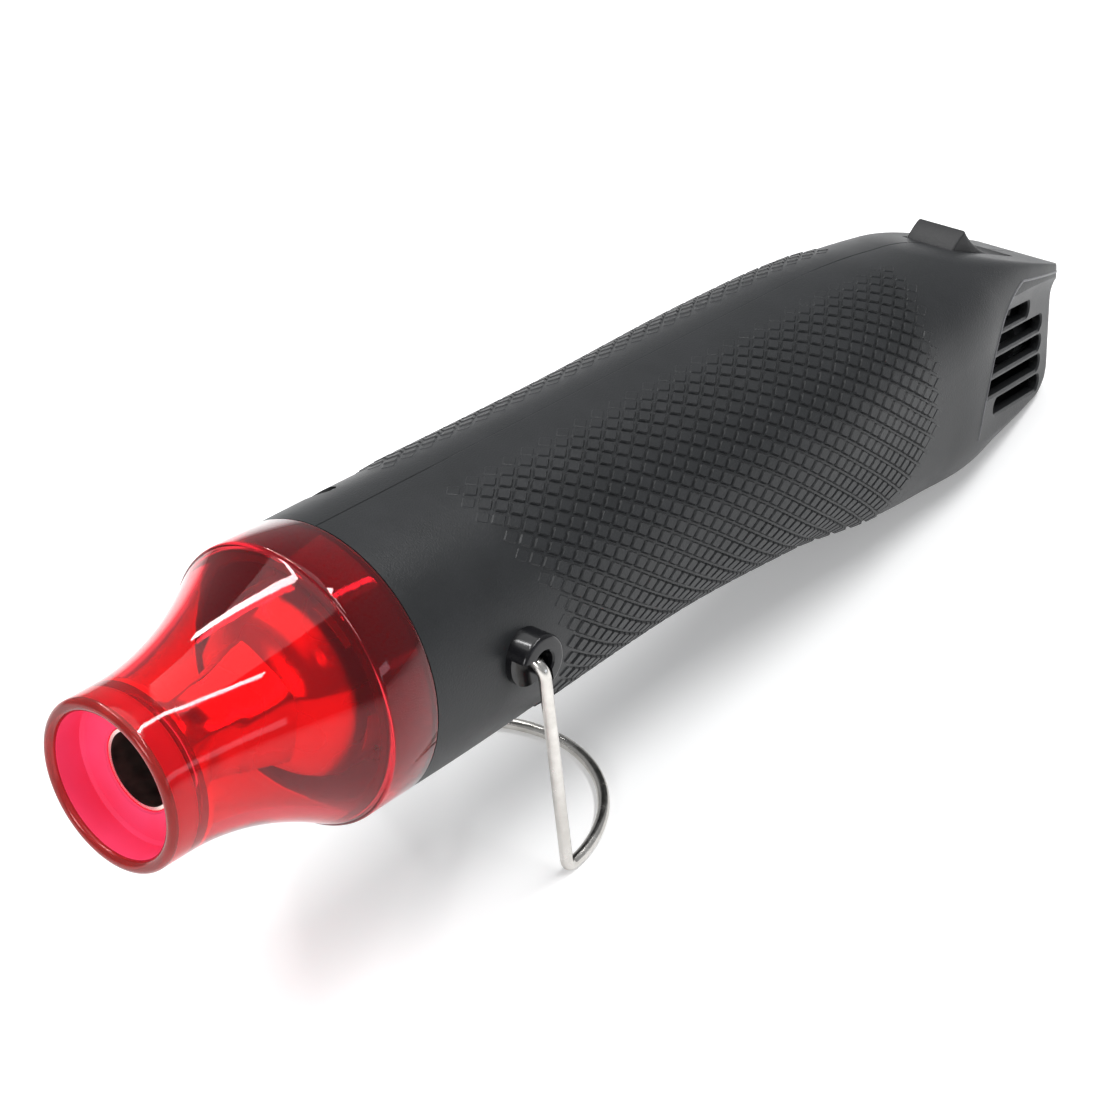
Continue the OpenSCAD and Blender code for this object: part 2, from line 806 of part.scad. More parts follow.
module fan_shroud() {
    color([0.25, 0.25, 0.27])
        place()
            difference() {
                union() {
                    difference() {
                        disc(fan_front, shroud_length + mount_thickness, shroud_radius + shroud_wall);
                        disc(fan_front - 1, shroud_length + 1, shroud_radius);
                    }
                }
                disc(mount_at - 1, mount_thickness + 2, bush_radius + 0.8 + seat);
                for (turn = [45 : 90 : 315])
                    rotate([turn, 0, 0])
                        translate([0, 0, 10.4])
                            disc(mount_at - 1, mount_thickness + 2, 3.6);
                for (side = [-1, 1])
                    translate([0, side * 8, 0])
                        disc(mount_at - 1, mount_thickness + 2, 1.1);
            }
}

module motor_can() {
    color([0.66, 0.66, 0.68])
        place()
            difference() {
                union() {
                    disc(motor_front + 0.05, motor_length, motor_radius);
                    disc(motor_front - 2, 3, bush_radius + 0.8);
                }
                disc(motor_front + 0.05 + can_wall, motor_length, motor_radius - can_wall);
                disc(motor_front - 3, 6, bush_radius);
                for (side = [-1, 1])
                    translate([0, side * 8, 0])
                        disc(motor_front - 1, 3, 0.9);
            }
}
module motor_magnets() {
    color([0.24, 0.23, 0.23])
        place()
            difference() {
                disc(motor_front + 4, motor_length - 7, motor_radius - can_wall);
                disc(motor_front + 3, motor_length - 5, magnet_inner);
                translate([motor_front, -far, -2.5])
                    cube([motor_length, 2 * far, 5]);
            }
}
module motor_rotor() {
    color([0.55, 0.35, 0.2])
        place()
            difference() {
                union() {
                    disc(motor_front + 6, motor_length - 12, core_radius);
                    disc(motor_front + 6, motor_length - 6.4, commutator_radius);
                }
                disc(motor_front, motor_length + 5, shaft_radius);
                for (turn = [0 : 120 : 240])
                    rotate([turn, 0, 0])
                        translate([motor_front + 5, -0.8, 4])
                            cube([motor_length - 10, 1.6, far / 3]);
            }
}
module motor_shaft() {
    color([0.75, 0.75, 0.77])
        place()
            disc(fan_front, cap_rear - fan_front - 0.2, shaft_radius);
}
module bush(at, length, radius) {
    difference() {
        disc(at, length, radius);
        disc(at - 1, length + 2, shaft_radius + bush_clearance);
    }
}
module motor_bush_front() {
    color([0.7, 0.5, 0.25])
        place()
            bush(motor_front - 2, 4, bush_radius);
}
module motor_bush_rear() {
    color([0.7, 0.5, 0.25])
        place()
            bush(cap_rear - 2.6, 2.6, bush_radius - 0.4);
}
module motor_end_cap() {
    color([0.85, 0.85, 0.82])
        place()
            difference() {
                disc(motor_rear + 0.05, cap_length, motor_radius - 0.1);
                disc(motor_rear - 1, cap_length - 1.6, commutator_radius + 0.6);
                disc(cap_rear - 2.6, 3, bush_radius - 0.4);
                for (side = [-1, 1])
                    translate([motor_rear - 1, side * tab_offset - tab_thickness / 2, -tab_width / 2])
                        cube([cap_length + 3, tab_thickness, tab_width]);
            }
}
module motor_brushes() {
    color([0.72, 0.5, 0.28])
        place()
            for (side = [-1, 1])
                translate([motor_rear - 2.4, side * (commutator_radius + 0.75) - 0.35, -1])
                    cube([2.45, 0.7, 2]);
}
module motor_tabs() {
    color([0.78, 0.74, 0.6])
        place()
            for (side = [-1, 1])
                translate([motor_rear + 0.05, side * tab_offset - tab_thickness / 2, -tab_width / 2])
                    cube([pcb_rear + 1.5 - motor_rear, tab_thickness, tab_width]);
}
module motor_screws() {
    color([0.7, 0.7, 0.72])
        place()
            for (side = [-1, 1])
                translate([0, side * 8, 0]) {
                    disc(mount_at - 1.2, 1.2, 1.7);
                    disc(mount_at - 0.2, mount_thickness + 1.2, 0.9);
                }
}

module rectifier_board() {
    color([0.25, 0.42, 0.25])
        place()
            difference() {
                disc(pcb_at, pcb_thickness, pcb_radius);
                for (side = [-1, 1])
                    translate([pcb_at - 1, side * tab_offset - tab_thickness / 2 - seat, -tab_width / 2 - seat])
                        cube([pcb_thickness + 2, tab_thickness + 2 * seat, tab_width + 2 * seat]);
            }
}
module rectifier_diodes() {
    color([0.1, 0.1, 0.1])
        place()
            for (across = [-1, 1])
                for (up = [-1, 1])
                    translate([pcb_rear + 1.35, across * 4.2, up * 6])
                        rotate([90, 0, 0])
                            translate([0, 0, -2.5])
                                cylinder(h = 5, r = 1.3);
}
module noise_capacitor() {
    color([0.75, 0.45, 0.15])
        place()
            translate([pcb_rear + 0.05, -3, -2])
                cube([5, 6, 4]);
}

// Rocker switch, drawn in the plateau's own frame: X down the slope, Z out of it
window_half_length = sqrt(rocker_radius * rocker_radius - pow(rocker_depth - wall, 2)) + clear;
switch_half_length = rocker_radius + clear + switch_wall;
switch_half_width = rocker_width / 2 + clear + switch_wall;
module at_rocker_pivot() {
    at_plateau()
        translate([0, 0, -rocker_depth])
            children();
}
module switch_rocker() {
    tip = 6.2;
    top = [for (t = [-6 : 1 : 6]) let (s = t / 6)
        [12 * s, rocker_waist + (tip - rocker_waist) * pow(abs(s) * 12 / 8.7, 1.3)]];
    color([0.1, 0.1, 0.11])
        place()
            at_rocker_pivot()
                rotate([0, rocker_travel / 2, 0]) {
                    side_view(-rocker_width / 2, rocker_width / 2)
                        intersection() {
                            circle(r = rocker_radius, $fn = 96);
                            polygon(concat(top, [[12, -0.4], [2, -2.6], [-2, -2.6], [-12, -0.4]]));
                        }
                    cross_pin(0, 0, -switch_half_width + 0.2, switch_half_width - 0.2, rocker_pin_radius);
                }
}
module switch_body() {
    color([0.14, 0.14, 0.15])
        place()
            at_rocker_pivot()
                difference() {
                    translate([-switch_half_length, -switch_half_width, -switch_depth])
                        cube([2 * switch_half_length, 2 * switch_half_width, switch_depth + rocker_depth - wall - seat]);
                    translate([-rocker_radius - clear, -rocker_width / 2 - clear, -3.8])
                        cube([2 * rocker_radius + 2 * clear, rocker_width + 2 * clear, far]);
                    cross_pin(0, 0, -far, far, rocker_pin_radius + bush_clearance);
                }
}
module switch_contacts() {
    color([0.78, 0.7, 0.5])
        place()
            at_rocker_pivot()
                for (k = [-1, 0, 1])
                    translate([k * 6 - 0.4, -1.2, -switch_depth - 4.5])
                        cube([0.8, 2.4, 4.5]);
}

module wire_stand() {
    bend = wire_radius + 0.03;
    color([0.72, 0.7, 0.66])
        place() {
            for (side = [-1, 1]) {
                cross_pin(pivot_at, 0, side > 0 ? pin_end : -leg_offset, side > 0 ? leg_offset : -pin_end, wire_radius);
                translate([pivot_at, side * leg_offset, 0])
                    sphere(r = bend, $fn = 64);
                rod([pivot_at, side * leg_offset, 0], [foot_at, side * foot_radius, -foot_drop], wire_radius);
                translate([foot_at, side * foot_radius, -foot_drop])
                    sphere(r = bend, $fn = 64);
            }
            translate([foot_at, 0, -foot_drop])
                rotate([0, -tilt, 0])
                    rotate([0, 0, -90])
                        rotate_extrude(angle = 180, $fn = 96)
                            translate([foot_radius, 0])
                                circle(r = wire_radius, $fn = 64);
        }
}

module cord_clamp() {
    color([0.2, 0.2, 0.21])
        place()
            difference() {
                translate([clamp_at - clamp_length / 2, clamp_seat, -inlet_drop - clamp_spread - clamp_margin])
                    cube([clamp_length, clamp_thickness, 2 * (clamp_spread + clamp_margin)]);
                translate([0, 0, -inlet_drop])
                    disc(clamp_at - clamp_length, 2 * clamp_length, inlet_radius + 0.6);
                for (s = [-1, 1])
                    cross_pin(clamp_at, -inlet_drop + s * clamp_spread, 0, far, screw_radius + play);
            }
}
module clamp_screws() {
    top = clamp_seat + clamp_thickness;
    color([0.7, 0.7, 0.72])
        place()
            for (s = [-1, 1]) {
                cross_pin(clamp_at, -inlet_drop + s * clamp_spread, top - clamp_screw_length, top + 0.2, screw_radius);
                cross_pin(clamp_at, -inlet_drop + s * clamp_spread, top, top + clamp_head_height, head_radius);
            }
}
module housing_screws() {
    color([0.5, 0.5, 0.52])
        place()
            for (p = housing_screw_places)
                difference() {
                    union() {
                        cross_pin(p[0], p[1], -screw_length / 2, screw_length / 2 + 0.2, screw_radius);
                        cross_pin(p[0], p[1], screw_length / 2, screw_length / 2 + head_height, head_radius);
                    }
                    for (turn = [0, 90])
                        translate([p[0], screw_length / 2 + head_height, p[1]])
                            rotate([0, turn, 0])
                                translate([-1.2, -0.8, -0.25])
                                    cube([2.4, 1, 0.5]);
                }
}

shell_left();
shell_right();
nozzle_guard();
nozzle_tube();
nozzle_flange();
mica_sleeve();
mica_board_upright();
mica_board_flat();
heater_coil();
heater_end_disc();
thermal_cutout();
thermal_fuse();
heater_leads();
fan_impeller();
fan_shroud();
motor_can();
motor_magnets();
motor_rotor();
motor_shaft();
motor_bush_front();
motor_bush_rear();
motor_end_cap();
motor_brushes();
motor_tabs();
motor_screws();
rectifier_board();
rectifier_diodes();
noise_capacitor();
switch_rocker();
switch_body();
switch_contacts();
wire_stand();
cord_clamp();
clamp_screws();
housing_screws();
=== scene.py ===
import json

import bpy
import numpy as np
from mathutils import Matrix


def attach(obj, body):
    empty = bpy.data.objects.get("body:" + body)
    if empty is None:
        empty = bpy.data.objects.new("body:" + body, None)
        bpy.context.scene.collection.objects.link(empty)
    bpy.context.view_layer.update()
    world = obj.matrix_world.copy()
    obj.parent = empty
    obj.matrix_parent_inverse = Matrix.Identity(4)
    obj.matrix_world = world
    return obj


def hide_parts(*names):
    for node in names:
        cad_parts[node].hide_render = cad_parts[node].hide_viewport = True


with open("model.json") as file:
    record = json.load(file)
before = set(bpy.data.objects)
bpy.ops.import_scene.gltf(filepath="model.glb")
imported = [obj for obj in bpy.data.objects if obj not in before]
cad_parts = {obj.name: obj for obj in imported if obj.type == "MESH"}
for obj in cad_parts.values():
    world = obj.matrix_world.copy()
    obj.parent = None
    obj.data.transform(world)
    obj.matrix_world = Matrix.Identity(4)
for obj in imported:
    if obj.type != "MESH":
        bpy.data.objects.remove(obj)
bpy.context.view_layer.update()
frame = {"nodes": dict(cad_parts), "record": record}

# The two shells: moulded in black ABS with a fine spark-eroded grain, parted along the middle
# plane and held by five screws from the far side. The tail has a sloping plateau for the rocker,
# and on each side a slanted panel with five air slots behind a thin skirt edge.

# Points are drawn in the tool's own frame, in millimetres: u runs rearward from the mouth rim
# along the nozzle, y across to the far side, and z up from the nozzle's axis.
outlet = next(m for m in frame["record"]["mounts"] if m["name"] == "nozzle_outlet")
outlet_depth = 8.5
rearward = -np.array(outlet["axis"])
sideways = np.array([0.0, 1.0, 0.0])
upward = np.cross(rearward, sideways)
mouth_middle = np.array(outlet["pos_m"]) - outlet_depth / 1000 * rearward


def place(points):
    """The row frame's point in metres: the mouth's middle plus u rearward, y sideways and z upward."""
    points = np.asarray(points, float) / 1000
    return mouth_middle + points[..., :1] * rearward + points[..., 1:2] * sideways + points[..., 2:3] * upward


def finish_mesh(mesh, crease):
    """Smooth shading, with sharp edges where the faces turn by more than the crease angle."""
    mesh.polygons.foreach_set("use_smooth", np.ones(len(mesh.polygons), bool))
    mesh.set_sharp_from_angle(angle=np.radians(crease))
    mesh.update()


def new_piece(name, points, faces, material, crease=35):
    """One mesh object from the tool's points and its faces."""
    mesh = bpy.data.meshes.new(name)
    mesh.from_pydata(place(np.reshape(points, (-1, 3))).tolist(), [], [list(map(int, f)) for f in faces])
    mesh.validate()
    finish_mesh(mesh, crease)
    if material:
        mesh.materials.append(material)
    piece = bpy.data.objects.new(name, mesh)
    bpy.context.scene.collection.objects.link(piece)
    return piece


def ring_faces(rows, columns, ends=True):
    """Quads between neighbouring closed rings, and one flat face on each end ring."""
    row, column = np.meshgrid(np.arange(rows - 1), np.arange(columns), indexing="ij")
    a = row * columns + column
    b = row * columns + (column + 1) % columns
    quads = np.stack([a, b, b + columns, a + columns], -1).reshape(-1, 4).tolist()
    if ends:
        quads.append(list(range(columns - 1, -1, -1)))
        quads.append(list(range((rows - 1) * columns, rows * columns)))
    return quads


def ring_solid(name, rings, material=None, crease=35):
    """A closed solid through rings of points."""
    rings = np.array(rings)
    return new_piece(name, rings, ring_faces(*rings.shape[:2]), material, crease)


def outward(piece):
    """Turns a closed solid's faces outward, judged by its volume's sign."""
    mesh = piece.data
    mesh.calc_loop_triangles()
    corners = np.empty(len(mesh.loop_triangles) * 3, np.int32)
    mesh.loop_triangles.foreach_get("vertices", corners)
    places = np.empty(len(mesh.vertices) * 3)
    mesh.vertices.foreach_get("co", places)
    tri = places.reshape(-1, 3)[corners].reshape(-1, 3, 3)
    volume = np.einsum("ij,ij->i", tri[:, 0], np.cross(tri[:, 1], tri[:, 2])).sum()
    if volume < 0:
        mesh.flip_normals()
    return piece


def carve(body, tools, how="DIFFERENCE", crease=35):
    """Cuts each tool from the body, joins it on or keeps what both share, and takes the tools away."""
    for tool in tools:
        cut = body.modifiers.new("cut", "BOOLEAN")
        cut.solver = "MANIFOLD"
        cut.operation = how
        cut.object = outward(tool)
    outward(body)
    shaped = bpy.data.meshes.new_from_object(body.evaluated_get(bpy.context.evaluated_depsgraph_get()))
    body.modifiers.clear()
    old = body.data
    shaped.name = body.name
    body.data = shaped
    bpy.data.meshes.remove(old)
    finish_mesh(body.data, crease)
    for tool in tools:
        bpy.data.objects.remove(tool)
    return body


guard_length = 42.6
body_front = guard_length + 0.1
tail_end = body_front + 182.8
waist_start = body_front + 6
waist_at = body_front + 60
hip_at = body_front + 97
crown_at = body_front + 117
shoulder_at = tail_end - 38.5
rocker_at = tail_end - 20.9
taper_start = shoulder_at - 9
taper_blend = 14
front_radius = 22.2
waist_radius = 21.1
hip_half_width = 22.4
shoulder_half_width = 19.4
tail_half_width = 8.8
tail_taper = (shoulder_half_width - tail_half_width) / (tail_end - taper_start - taper_blend / 2)
belly_depth = 26.7
belly_start = waist_at + 3
belly_end = shoulder_at - 4
belly_fall = 18
tail_depth = 25.2
crown_height = 19.5
crown_spare = 0.4
crown_bend_at = crown_at - 6
crown_bend_run = 20
crown_fall = 0.14
wall = 2.0
plateau_lie = np.radians(22)
plateau_slope = np.tan(plateau_lie)
plateau_end_height = 0.5
plateau_crease = 1.5
tail_corner_radius = 8.0
tail_corner_at = tail_end - tail_corner_radius
tail_corner_drop = tail_depth - tail_corner_radius
end_rounding = 1.3
plan_rounding = 3.0


def blend(u, a, b):
    """Smooth step: 3t squared less 2t cubed, where t goes from 0 at a to 1 at b."""
    t = np.clip((u - a) / (b - a), 0, 1)
    return t * t * (3 - 2 * t)


def ramp(u, a, run):
    """Zero up to a, then a parabola over the run, then a straight line of slope 1."""
    t = np.clip(u - a, 0, None)
    return np.where(t < run, t * t / (2 * run), t - run / 2)


def quarter_round(depth, radius):
    """How far a rounded edge has fallen at this depth past its start: the radius less the circle's height."""
    d = np.clip(depth, 0, radius)
    return radius - np.sqrt(radius * radius - d * d)


def half_width(u):
    """Half the width: the front radius, in at the waist, out at the hip, in at the shoulder and the tail."""
    return (front_radius
            - (front_radius - waist_radius) * blend(u, waist_start, waist_at)
            + (hip_half_width - waist_radius) * blend(u, waist_at, hip_at)
            - (hip_half_width - shoulder_half_width) * blend(u, hip_at, shoulder_at)
            - tail_taper * ramp(u, taper_start, taper_blend))


def crown(u):
    """The crown's height: a straight fall from the front radius, which grows steeper behind its bend."""
    fall = (front_radius - crown_height - crown_spare) * (u - body_front) / (crown_at - body_front)
    return front_radius - fall - crown_fall * ramp(u, crown_bend_at, crown_bend_run)


def belly(u):
    """The belly's depth: in at the waist, out to its fullest, and rounded up at the tail's corner."""
    full = (front_radius
            - (front_radius - waist_radius) * blend(u, waist_start, waist_at)
            + (belly_depth - waist_radius) * blend(u, belly_start, belly_end)
            - (belly_depth - tail_depth) * blend(u, belly_end, belly_end + belly_fall))
    return full - quarter_round(u - tail_corner_at, tail_corner_radius)


def plateau(u):
    """The plateau's height: a straight slope down to the tail's end."""
    return plateau_end_height + (tail_end - u) * plateau_slope


def skin(u, angle, inset=0.0):
    """The half section's point at a polar angle from the top: two superellipse quarters.

    Their half axes are the half width and the crown or belly, less the wall's inset. The crown is
    then brought under the plateau with a smooth minimum."""
    upper_power = 2 + 0.3 * blend(u, hip_at + 4, rocker_at)
    lower_power = 2 + 1.1 * blend(u, waist_at + 35, shoulder_at - 14)
    lower_power = lower_power + 3.4 * blend(u, hip_at + 29, tail_end - 2)
    power = np.where(angle < 90, upper_power, lower_power)
    edge = inset + quarter_round(u - (tail_end - end_rounding), end_rounding)
    width = half_width(u) - edge - quarter_round(u - (tail_end - plan_rounding), plan_rounding)
    rise = np.where(angle < 90, crown(u), belly(u)) - edge
    s, c = np.sin(np.radians(angle)), np.cos(np.radians(angle))
    reach = ((np.abs(s) / width) ** power + (np.abs(c) / rise) ** power) ** (-1 / power)
    y, z = reach * s, reach * c
    lid = plateau(u) - edge
    h = np.clip(0.5 + 0.5 * (lid - z) / plateau_crease, 0, 1)
    return np.broadcast_to(u, y.shape), y, lid * (1 - h) + z * h - plateau_crease * h * (1 - h)


panel_step = 1.4
panel_slant = np.radians(15)
panel_front = tail_end - 42.0
roof_angle = np.radians(17)
roof_start = np.array([tail_end, -0.8])
roof_along = np.array([np.cos(roof_angle), -np.sin(roof_angle)])
roof_below = np.array([-np.sin(roof_angle), -np.cos(roof_angle)])
groove_half_width = 0.12
groove_fades = (body_front + 18, body_front + 36)
groove_returns = (rocker_at - 48, rocker_at - 34)


def panel_offset(u):
    """The slanted panel's distance from the middle plane: a straight line that opens towards the front."""
    return tail_half_width - panel_step + (tail_end - u) * np.tan(panel_slant)


def half_solid(name, side, stations, angles, inset, overshoot, groove=0.0):
    """A closed half of the skin: each station's section from top to bottom, closed along the parting plane.

    The hollow keeps a wall behind the panel. The parting groove is deep near the collar and the
    rocker, and faint between them."""
    u, y, z = skin(stations[:, None], angles[None, :], inset)
    y = np.clip(y, 0, None)
    if inset:
        y = np.where(u > panel_front, np.minimum(y, panel_offset(u) - wall), y)
    tight = blend(u, *groove_fades) * (1 - blend(u, *groove_returns))
    z = z - np.sign(z) * groove * (1 - 0.85 * tight) * np.clip(1 - y / groove_half_width, 0, 1)
    points = np.stack([u, side * y, z], -1)
    if overshoot:
        first, last = points[:, :1].copy(), points[:, -1:].copy()
        first[..., 1] = last[..., 1] = -side * overshoot
        points = np.concatenate([first, points, last], 1)
    return ring_solid(name, points, black_abs)


skirt_foot = -34.6
skirt_sweep = 13.9
skirt_ease = 4.4
skirt_kick = 0.025
skirt_kick_at = 19.5
recess_past_tail = 14
recess_reach = 32.0
cove_width, cove_radius = 5.6, 8.5
cove_from, cove_run = 150, 50
panel_rear_round = 2.0
panel_bottom_round = 1.6


def skirt_front(q):
    """Where the skirt edge lies along the roof line, at q under it.

    It is nearly straight below, swept back towards the roof by a fading exponential, and turned
    rearward at its foot by a parabola."""
    kick = skirt_kick * np.clip(q - skirt_kick_at, 0, None) ** 2
    return skirt_foot + skirt_sweep * np.exp(-q / skirt_ease) + kick


def recess_tool(side):
    """What the slanted panel takes from the tail.

    Its floor is the panel, raised by a wide cove under the roof line, and let down at the rear and
    along the bottom by rounded edges."""
    q = np.concatenate([np.linspace(0, 8, 25), np.linspace(8.6, 36, 40)])[:, None]
    front = skirt_front(q)
    along = front + (recess_past_tail - front) * np.linspace(0, 1, 70)[None, :] ** 1.15
    spot = roof_start + along[..., None] * roof_along + q[..., None] * roof_below
    u, z = spot[..., 0], spot[..., 1]
    cove = quarter_round(np.clip(cove_width - q, 0, None), cove_radius)
    cove = cove * np.clip((u - cove_from) / cove_run, 0, 1)
    corner = np.sqrt(np.clip(tail_corner_radius**2 - (u - tail_corner_at) ** 2, 0, None))
    lower = np.where(u < tail_corner_at, tail_depth, tail_corner_drop + corner)
    floor = (panel_offset(u) + cove
             - quarter_round(u - (tail_end - panel_rear_round), panel_rear_round)
             - quarter_round(-z - (lower - panel_bottom_round), panel_bottom_round))
    near = np.stack([u, side * floor, z], -1)
    far = np.stack([u, side * np.full_like(u, recess_reach), z], -1)
    rows, columns = u.shape
    grid = np.arange(rows * columns).reshape(rows, columns)
    top = grid + rows * columns
    quads = []
    for g in (grid, top[:, ::-1]):
        quads.append(np.stack([g[:-1, :-1], g[1:, :-1], g[1:, 1:], g[:-1, 1:]], -1).reshape(-1, 4))
    rim = np.concatenate([grid[0, :-1], grid[:-1, -1], grid[-1, :0:-1], grid[:0:-1, 0]])
    after = np.roll(rim, -1)
    quads.append(np.stack([rim, after, after + rows * columns, rim + rows * columns], -1))
    points = np.concatenate([near.reshape(-1, 3), far.reshape(-1, 3)])
    return new_piece("recess", points, np.concatenate(quads), None)


slot_height = 2.9
slot_pitch = 4.05
slot_angle = np.radians(-14.5)
slot_middle = tail_end - 18.4
slot_first = -1.5
slot_tips = [3.2] + 4 * [11.2]
slot_roots = 4 * [-22.0] + [-12.5]
slot_rim = 0.35
slot_outside, slot_inside = 3.0, -4.5
skirt_gap = 0.3


def slot_tool(side, k):
    """One air slot: a long rounded outline carried in along Y from the panel, with a bevelled rim.

    Points ahead of the skirt edge slide rearward along the slot until they are behind it."""
    turn = np.radians(np.arange(-90, 91, 10))
    bow = np.stack([np.cos(turn), np.sin(turn)], -1)
    out = np.concatenate([bow, -bow])
    ends = np.repeat([[slot_tips[k], 0.0], [slot_roots[k], 0.0]], len(turn), 0)
    fall = slot_rim * np.sin(np.radians(np.arange(0, 91, 15)))
    depth = np.concatenate([[slot_outside], -fall, [slot_inside]])
    grow = np.concatenate([[slot_rim], slot_rim - fall, [0.0]])
    rings = []
    for d, g in zip(depth, grow):
        x, h = (ends + out * (slot_height / 2 + g)).T
        for _ in range(8):
            u = slot_middle + x * np.cos(slot_angle) - h * np.sin(slot_angle)
            z = slot_first - k * slot_pitch + x * np.sin(slot_angle) + h * np.cos(slot_angle)
            spot = np.stack([u, z], -1) - roof_start
            x = x + np.clip(skirt_front(spot @ roof_below) + skirt_gap - spot @ roof_along, 0, None)
        rings.append(np.stack([u, side * (panel_offset(u) + d), z], -1))
    return ring_solid("slot", rings)


def round_tool(start, along, radius, length, rim=0.0):
    """A straight round cutter, which may open with a bevelled rim at its start."""
    along = np.array(along, float) / np.linalg.norm(along)
    across = np.cross(along, [0, 0, 1] if abs(along[2]) < 0.9 else [0, 1, 0])
    across = across / np.linalg.norm(across)
    third = np.cross(along, across)
    turn = np.linspace(0, 2 * np.pi, 64, endpoint=False)
    fall = rim * np.sin(np.radians(np.linspace(0, 90, 7))) if rim else np.zeros(0)
    way = np.concatenate([[-2.0], fall, [length]])
    size = radius + np.concatenate([[rim], rim - fall, [0.0]])
    ring = np.cos(turn)[:, None] * across + np.sin(turn)[:, None] * third
    points = np.array(start) + way[:, None, None] * along + size[:, None, None] * ring
    return ring_solid("bore", points)


down_slope = np.array([np.cos(plateau_lie), 0, -np.sin(plateau_lie)])
off_slope = np.array([np.sin(plateau_lie), 0, np.cos(plateau_lie)])
rocker_foot = np.array([rocker_at, 0, plateau(rocker_at)])
window_half_long, window_half_wide = 10.7, 5.3
window_corner, window_rim = 0.6, 0.25


def on_plateau(x, y, z):
    """The point for x down the slope from over the rocker's pivot, y across and z out of the plateau."""
    x, y, z = (np.asarray(value)[..., None] for value in (x, y, z))
    return rocker_foot + x * down_slope + y * sideways + z * off_slope


def window_tool():
    """The rocker's window: a rounded rectangle carried down from the plateau, with a rounded rim."""
    turn = np.radians(np.concatenate([np.arange(0, 91, 15) + q * 90 for q in range(4)]))
    sx, sy = np.repeat([1, -1, -1, 1], 7), np.repeat([1, 1, -1, -1], 7)
    rim = window_rim
    rings = []
    for depth, grow in [(6, rim), (0, rim), (-0.3 * rim, 0.45 * rim), (-rim, 0), (-8, 0)]:
        x = sx * (window_half_long - window_corner) + (window_corner + grow) * np.cos(turn)
        y = sy * (window_half_wide - window_corner) + (window_corner + grow) * np.sin(turn)
        rings.append(on_plateau(x, y, np.full_like(x, depth - 0.15)))
    return ring_solid("window", rings)


def new_material(name, colour, roughness, metallic=0.0, **sockets):
    """A principled material with its plain values on its own sockets."""
    material = bpy.data.materials.new(name)
    material.use_nodes = True
    shader = material.node_tree.nodes["Principled BSDF"]
    shader.inputs["Base Color"].default_value = (*colour, 1)
    shader.inputs["Roughness"].default_value = roughness
    shader.inputs["Metallic"].default_value = metallic
    for socket, value in sockets.items():
        shader.inputs[socket.replace("_", " ")].default_value = value
    return material


def mottle(material, size, detail, roughness=0.6):
    """Noise in object space, with its features' size in millimetres."""
    nodes, links = material.node_tree.nodes, material.node_tree.links
    where = nodes.new("ShaderNodeTexCoord")
    noise = nodes.new("ShaderNodeTexNoise")
    noise.inputs["Scale"].default_value = 1000 / size
    noise.inputs["Detail"].default_value = detail
    noise.inputs["Roughness"].default_value = roughness
    links.new(where.outputs["Object"], noise.inputs["Vector"])
    return noise.outputs["Fac"]


def vary(material, noise, socket, low, high):
    """Links a noise, stretched between two levels or two colours, to a socket of the shader."""
    nodes, links = material.node_tree.nodes, material.node_tree.links
    target = nodes["Principled BSDF"].inputs[socket]
    if np.ndim(low):
        tones = nodes.new("ShaderNodeValToRGB")
        for element, position, tone in zip(tones.color_ramp.elements, (0.3, 0.7), (low, high)):
            element.position = position
            element.color = (*tone, 1)
        links.new(noise, tones.inputs["Fac"])
        links.new(tones.outputs["Color"], target)
        return
    span = nodes.new("ShaderNodeMapRange")
    for name, value in {"From Min": 0.3, "From Max": 0.7, "To Min": low, "To Max": high}.items():
        span.inputs[name].default_value = value
    links.new(noise, span.inputs["Value"])
    links.new(span.outputs["Result"], target)


def grain(material, noise, depth, strength):
    """Bump from a noise, with its depth in millimetres."""
    nodes, links = material.node_tree.nodes, material.node_tree.links
    bump = nodes.new("ShaderNodeBump")
    bump.inputs["Distance"].default_value = depth / 1000
    bump.inputs["Strength"].default_value = strength
    links.new(noise, bump.inputs["Height"])
    links.new(bump.outputs["Normal"], nodes["Principled BSDF"].inputs["Normal"])


# The grain is about a third of a millimetre, under faint clouds in tone and gloss.
black_abs = new_material("black_abs", (0.018, 0.019, 0.02), 0.42, IOR=1.33)
cloud = mottle(black_abs, 9, 3)
vary(black_abs, cloud, "Base Color", (0.016, 0.017, 0.018), (0.02, 0.021, 0.0225))
vary(black_abs, cloud, "Roughness", 0.38, 0.44)
grain(black_abs, mottle(black_abs, 0.3, 2, 0.5), 0.07, 0.7)

front_stations = body_front + np.array([0, 0.08, 0.2, 0.4, 0.8])
long_stations = np.linspace(body_front + 1.6, tail_end - 44, 96)
tail_stations = np.linspace(tail_end - 43.4, tail_end - 2.6, 84)
end_shares = np.array([1.8, 1.5, 1.2, 1, 0.85, 0.7, 0.55, 0.42, 0.3, 0.2, 0.12, 0.06, 0.02, 0])
end_stations = tail_end - end_rounding * end_shares
stations = np.concatenate([front_stations, long_stations, tail_stations, end_stations])
angles = np.concatenate([[0, 0.2, 0.4, 0.8], np.linspace(1.4, 178.6, 150), [179.2, 179.6, 179.8, 180]])
hollow_stations = np.concatenate([[body_front - 1], np.linspace(body_front, tail_end - wall, 90)])
hollow_angles = np.linspace(0, 180, 60)
screw_places = [(54.6, 18.2), (54.6, -18.2), (164.0, 12.6), (164.0, -19.4), (184.0, -4.0)]
screw_seat = 7.0
seat_length = 20
screw_head_radius = 2.2
post_foot = 3.0
post_radius = 3.2
post_length = 22
inlet_drop = 13.0
inlet_radius = 3.5
inlet_wall = 2
inlet_bore = 8
inlet_rim = 0.6
boss_length = 9.0


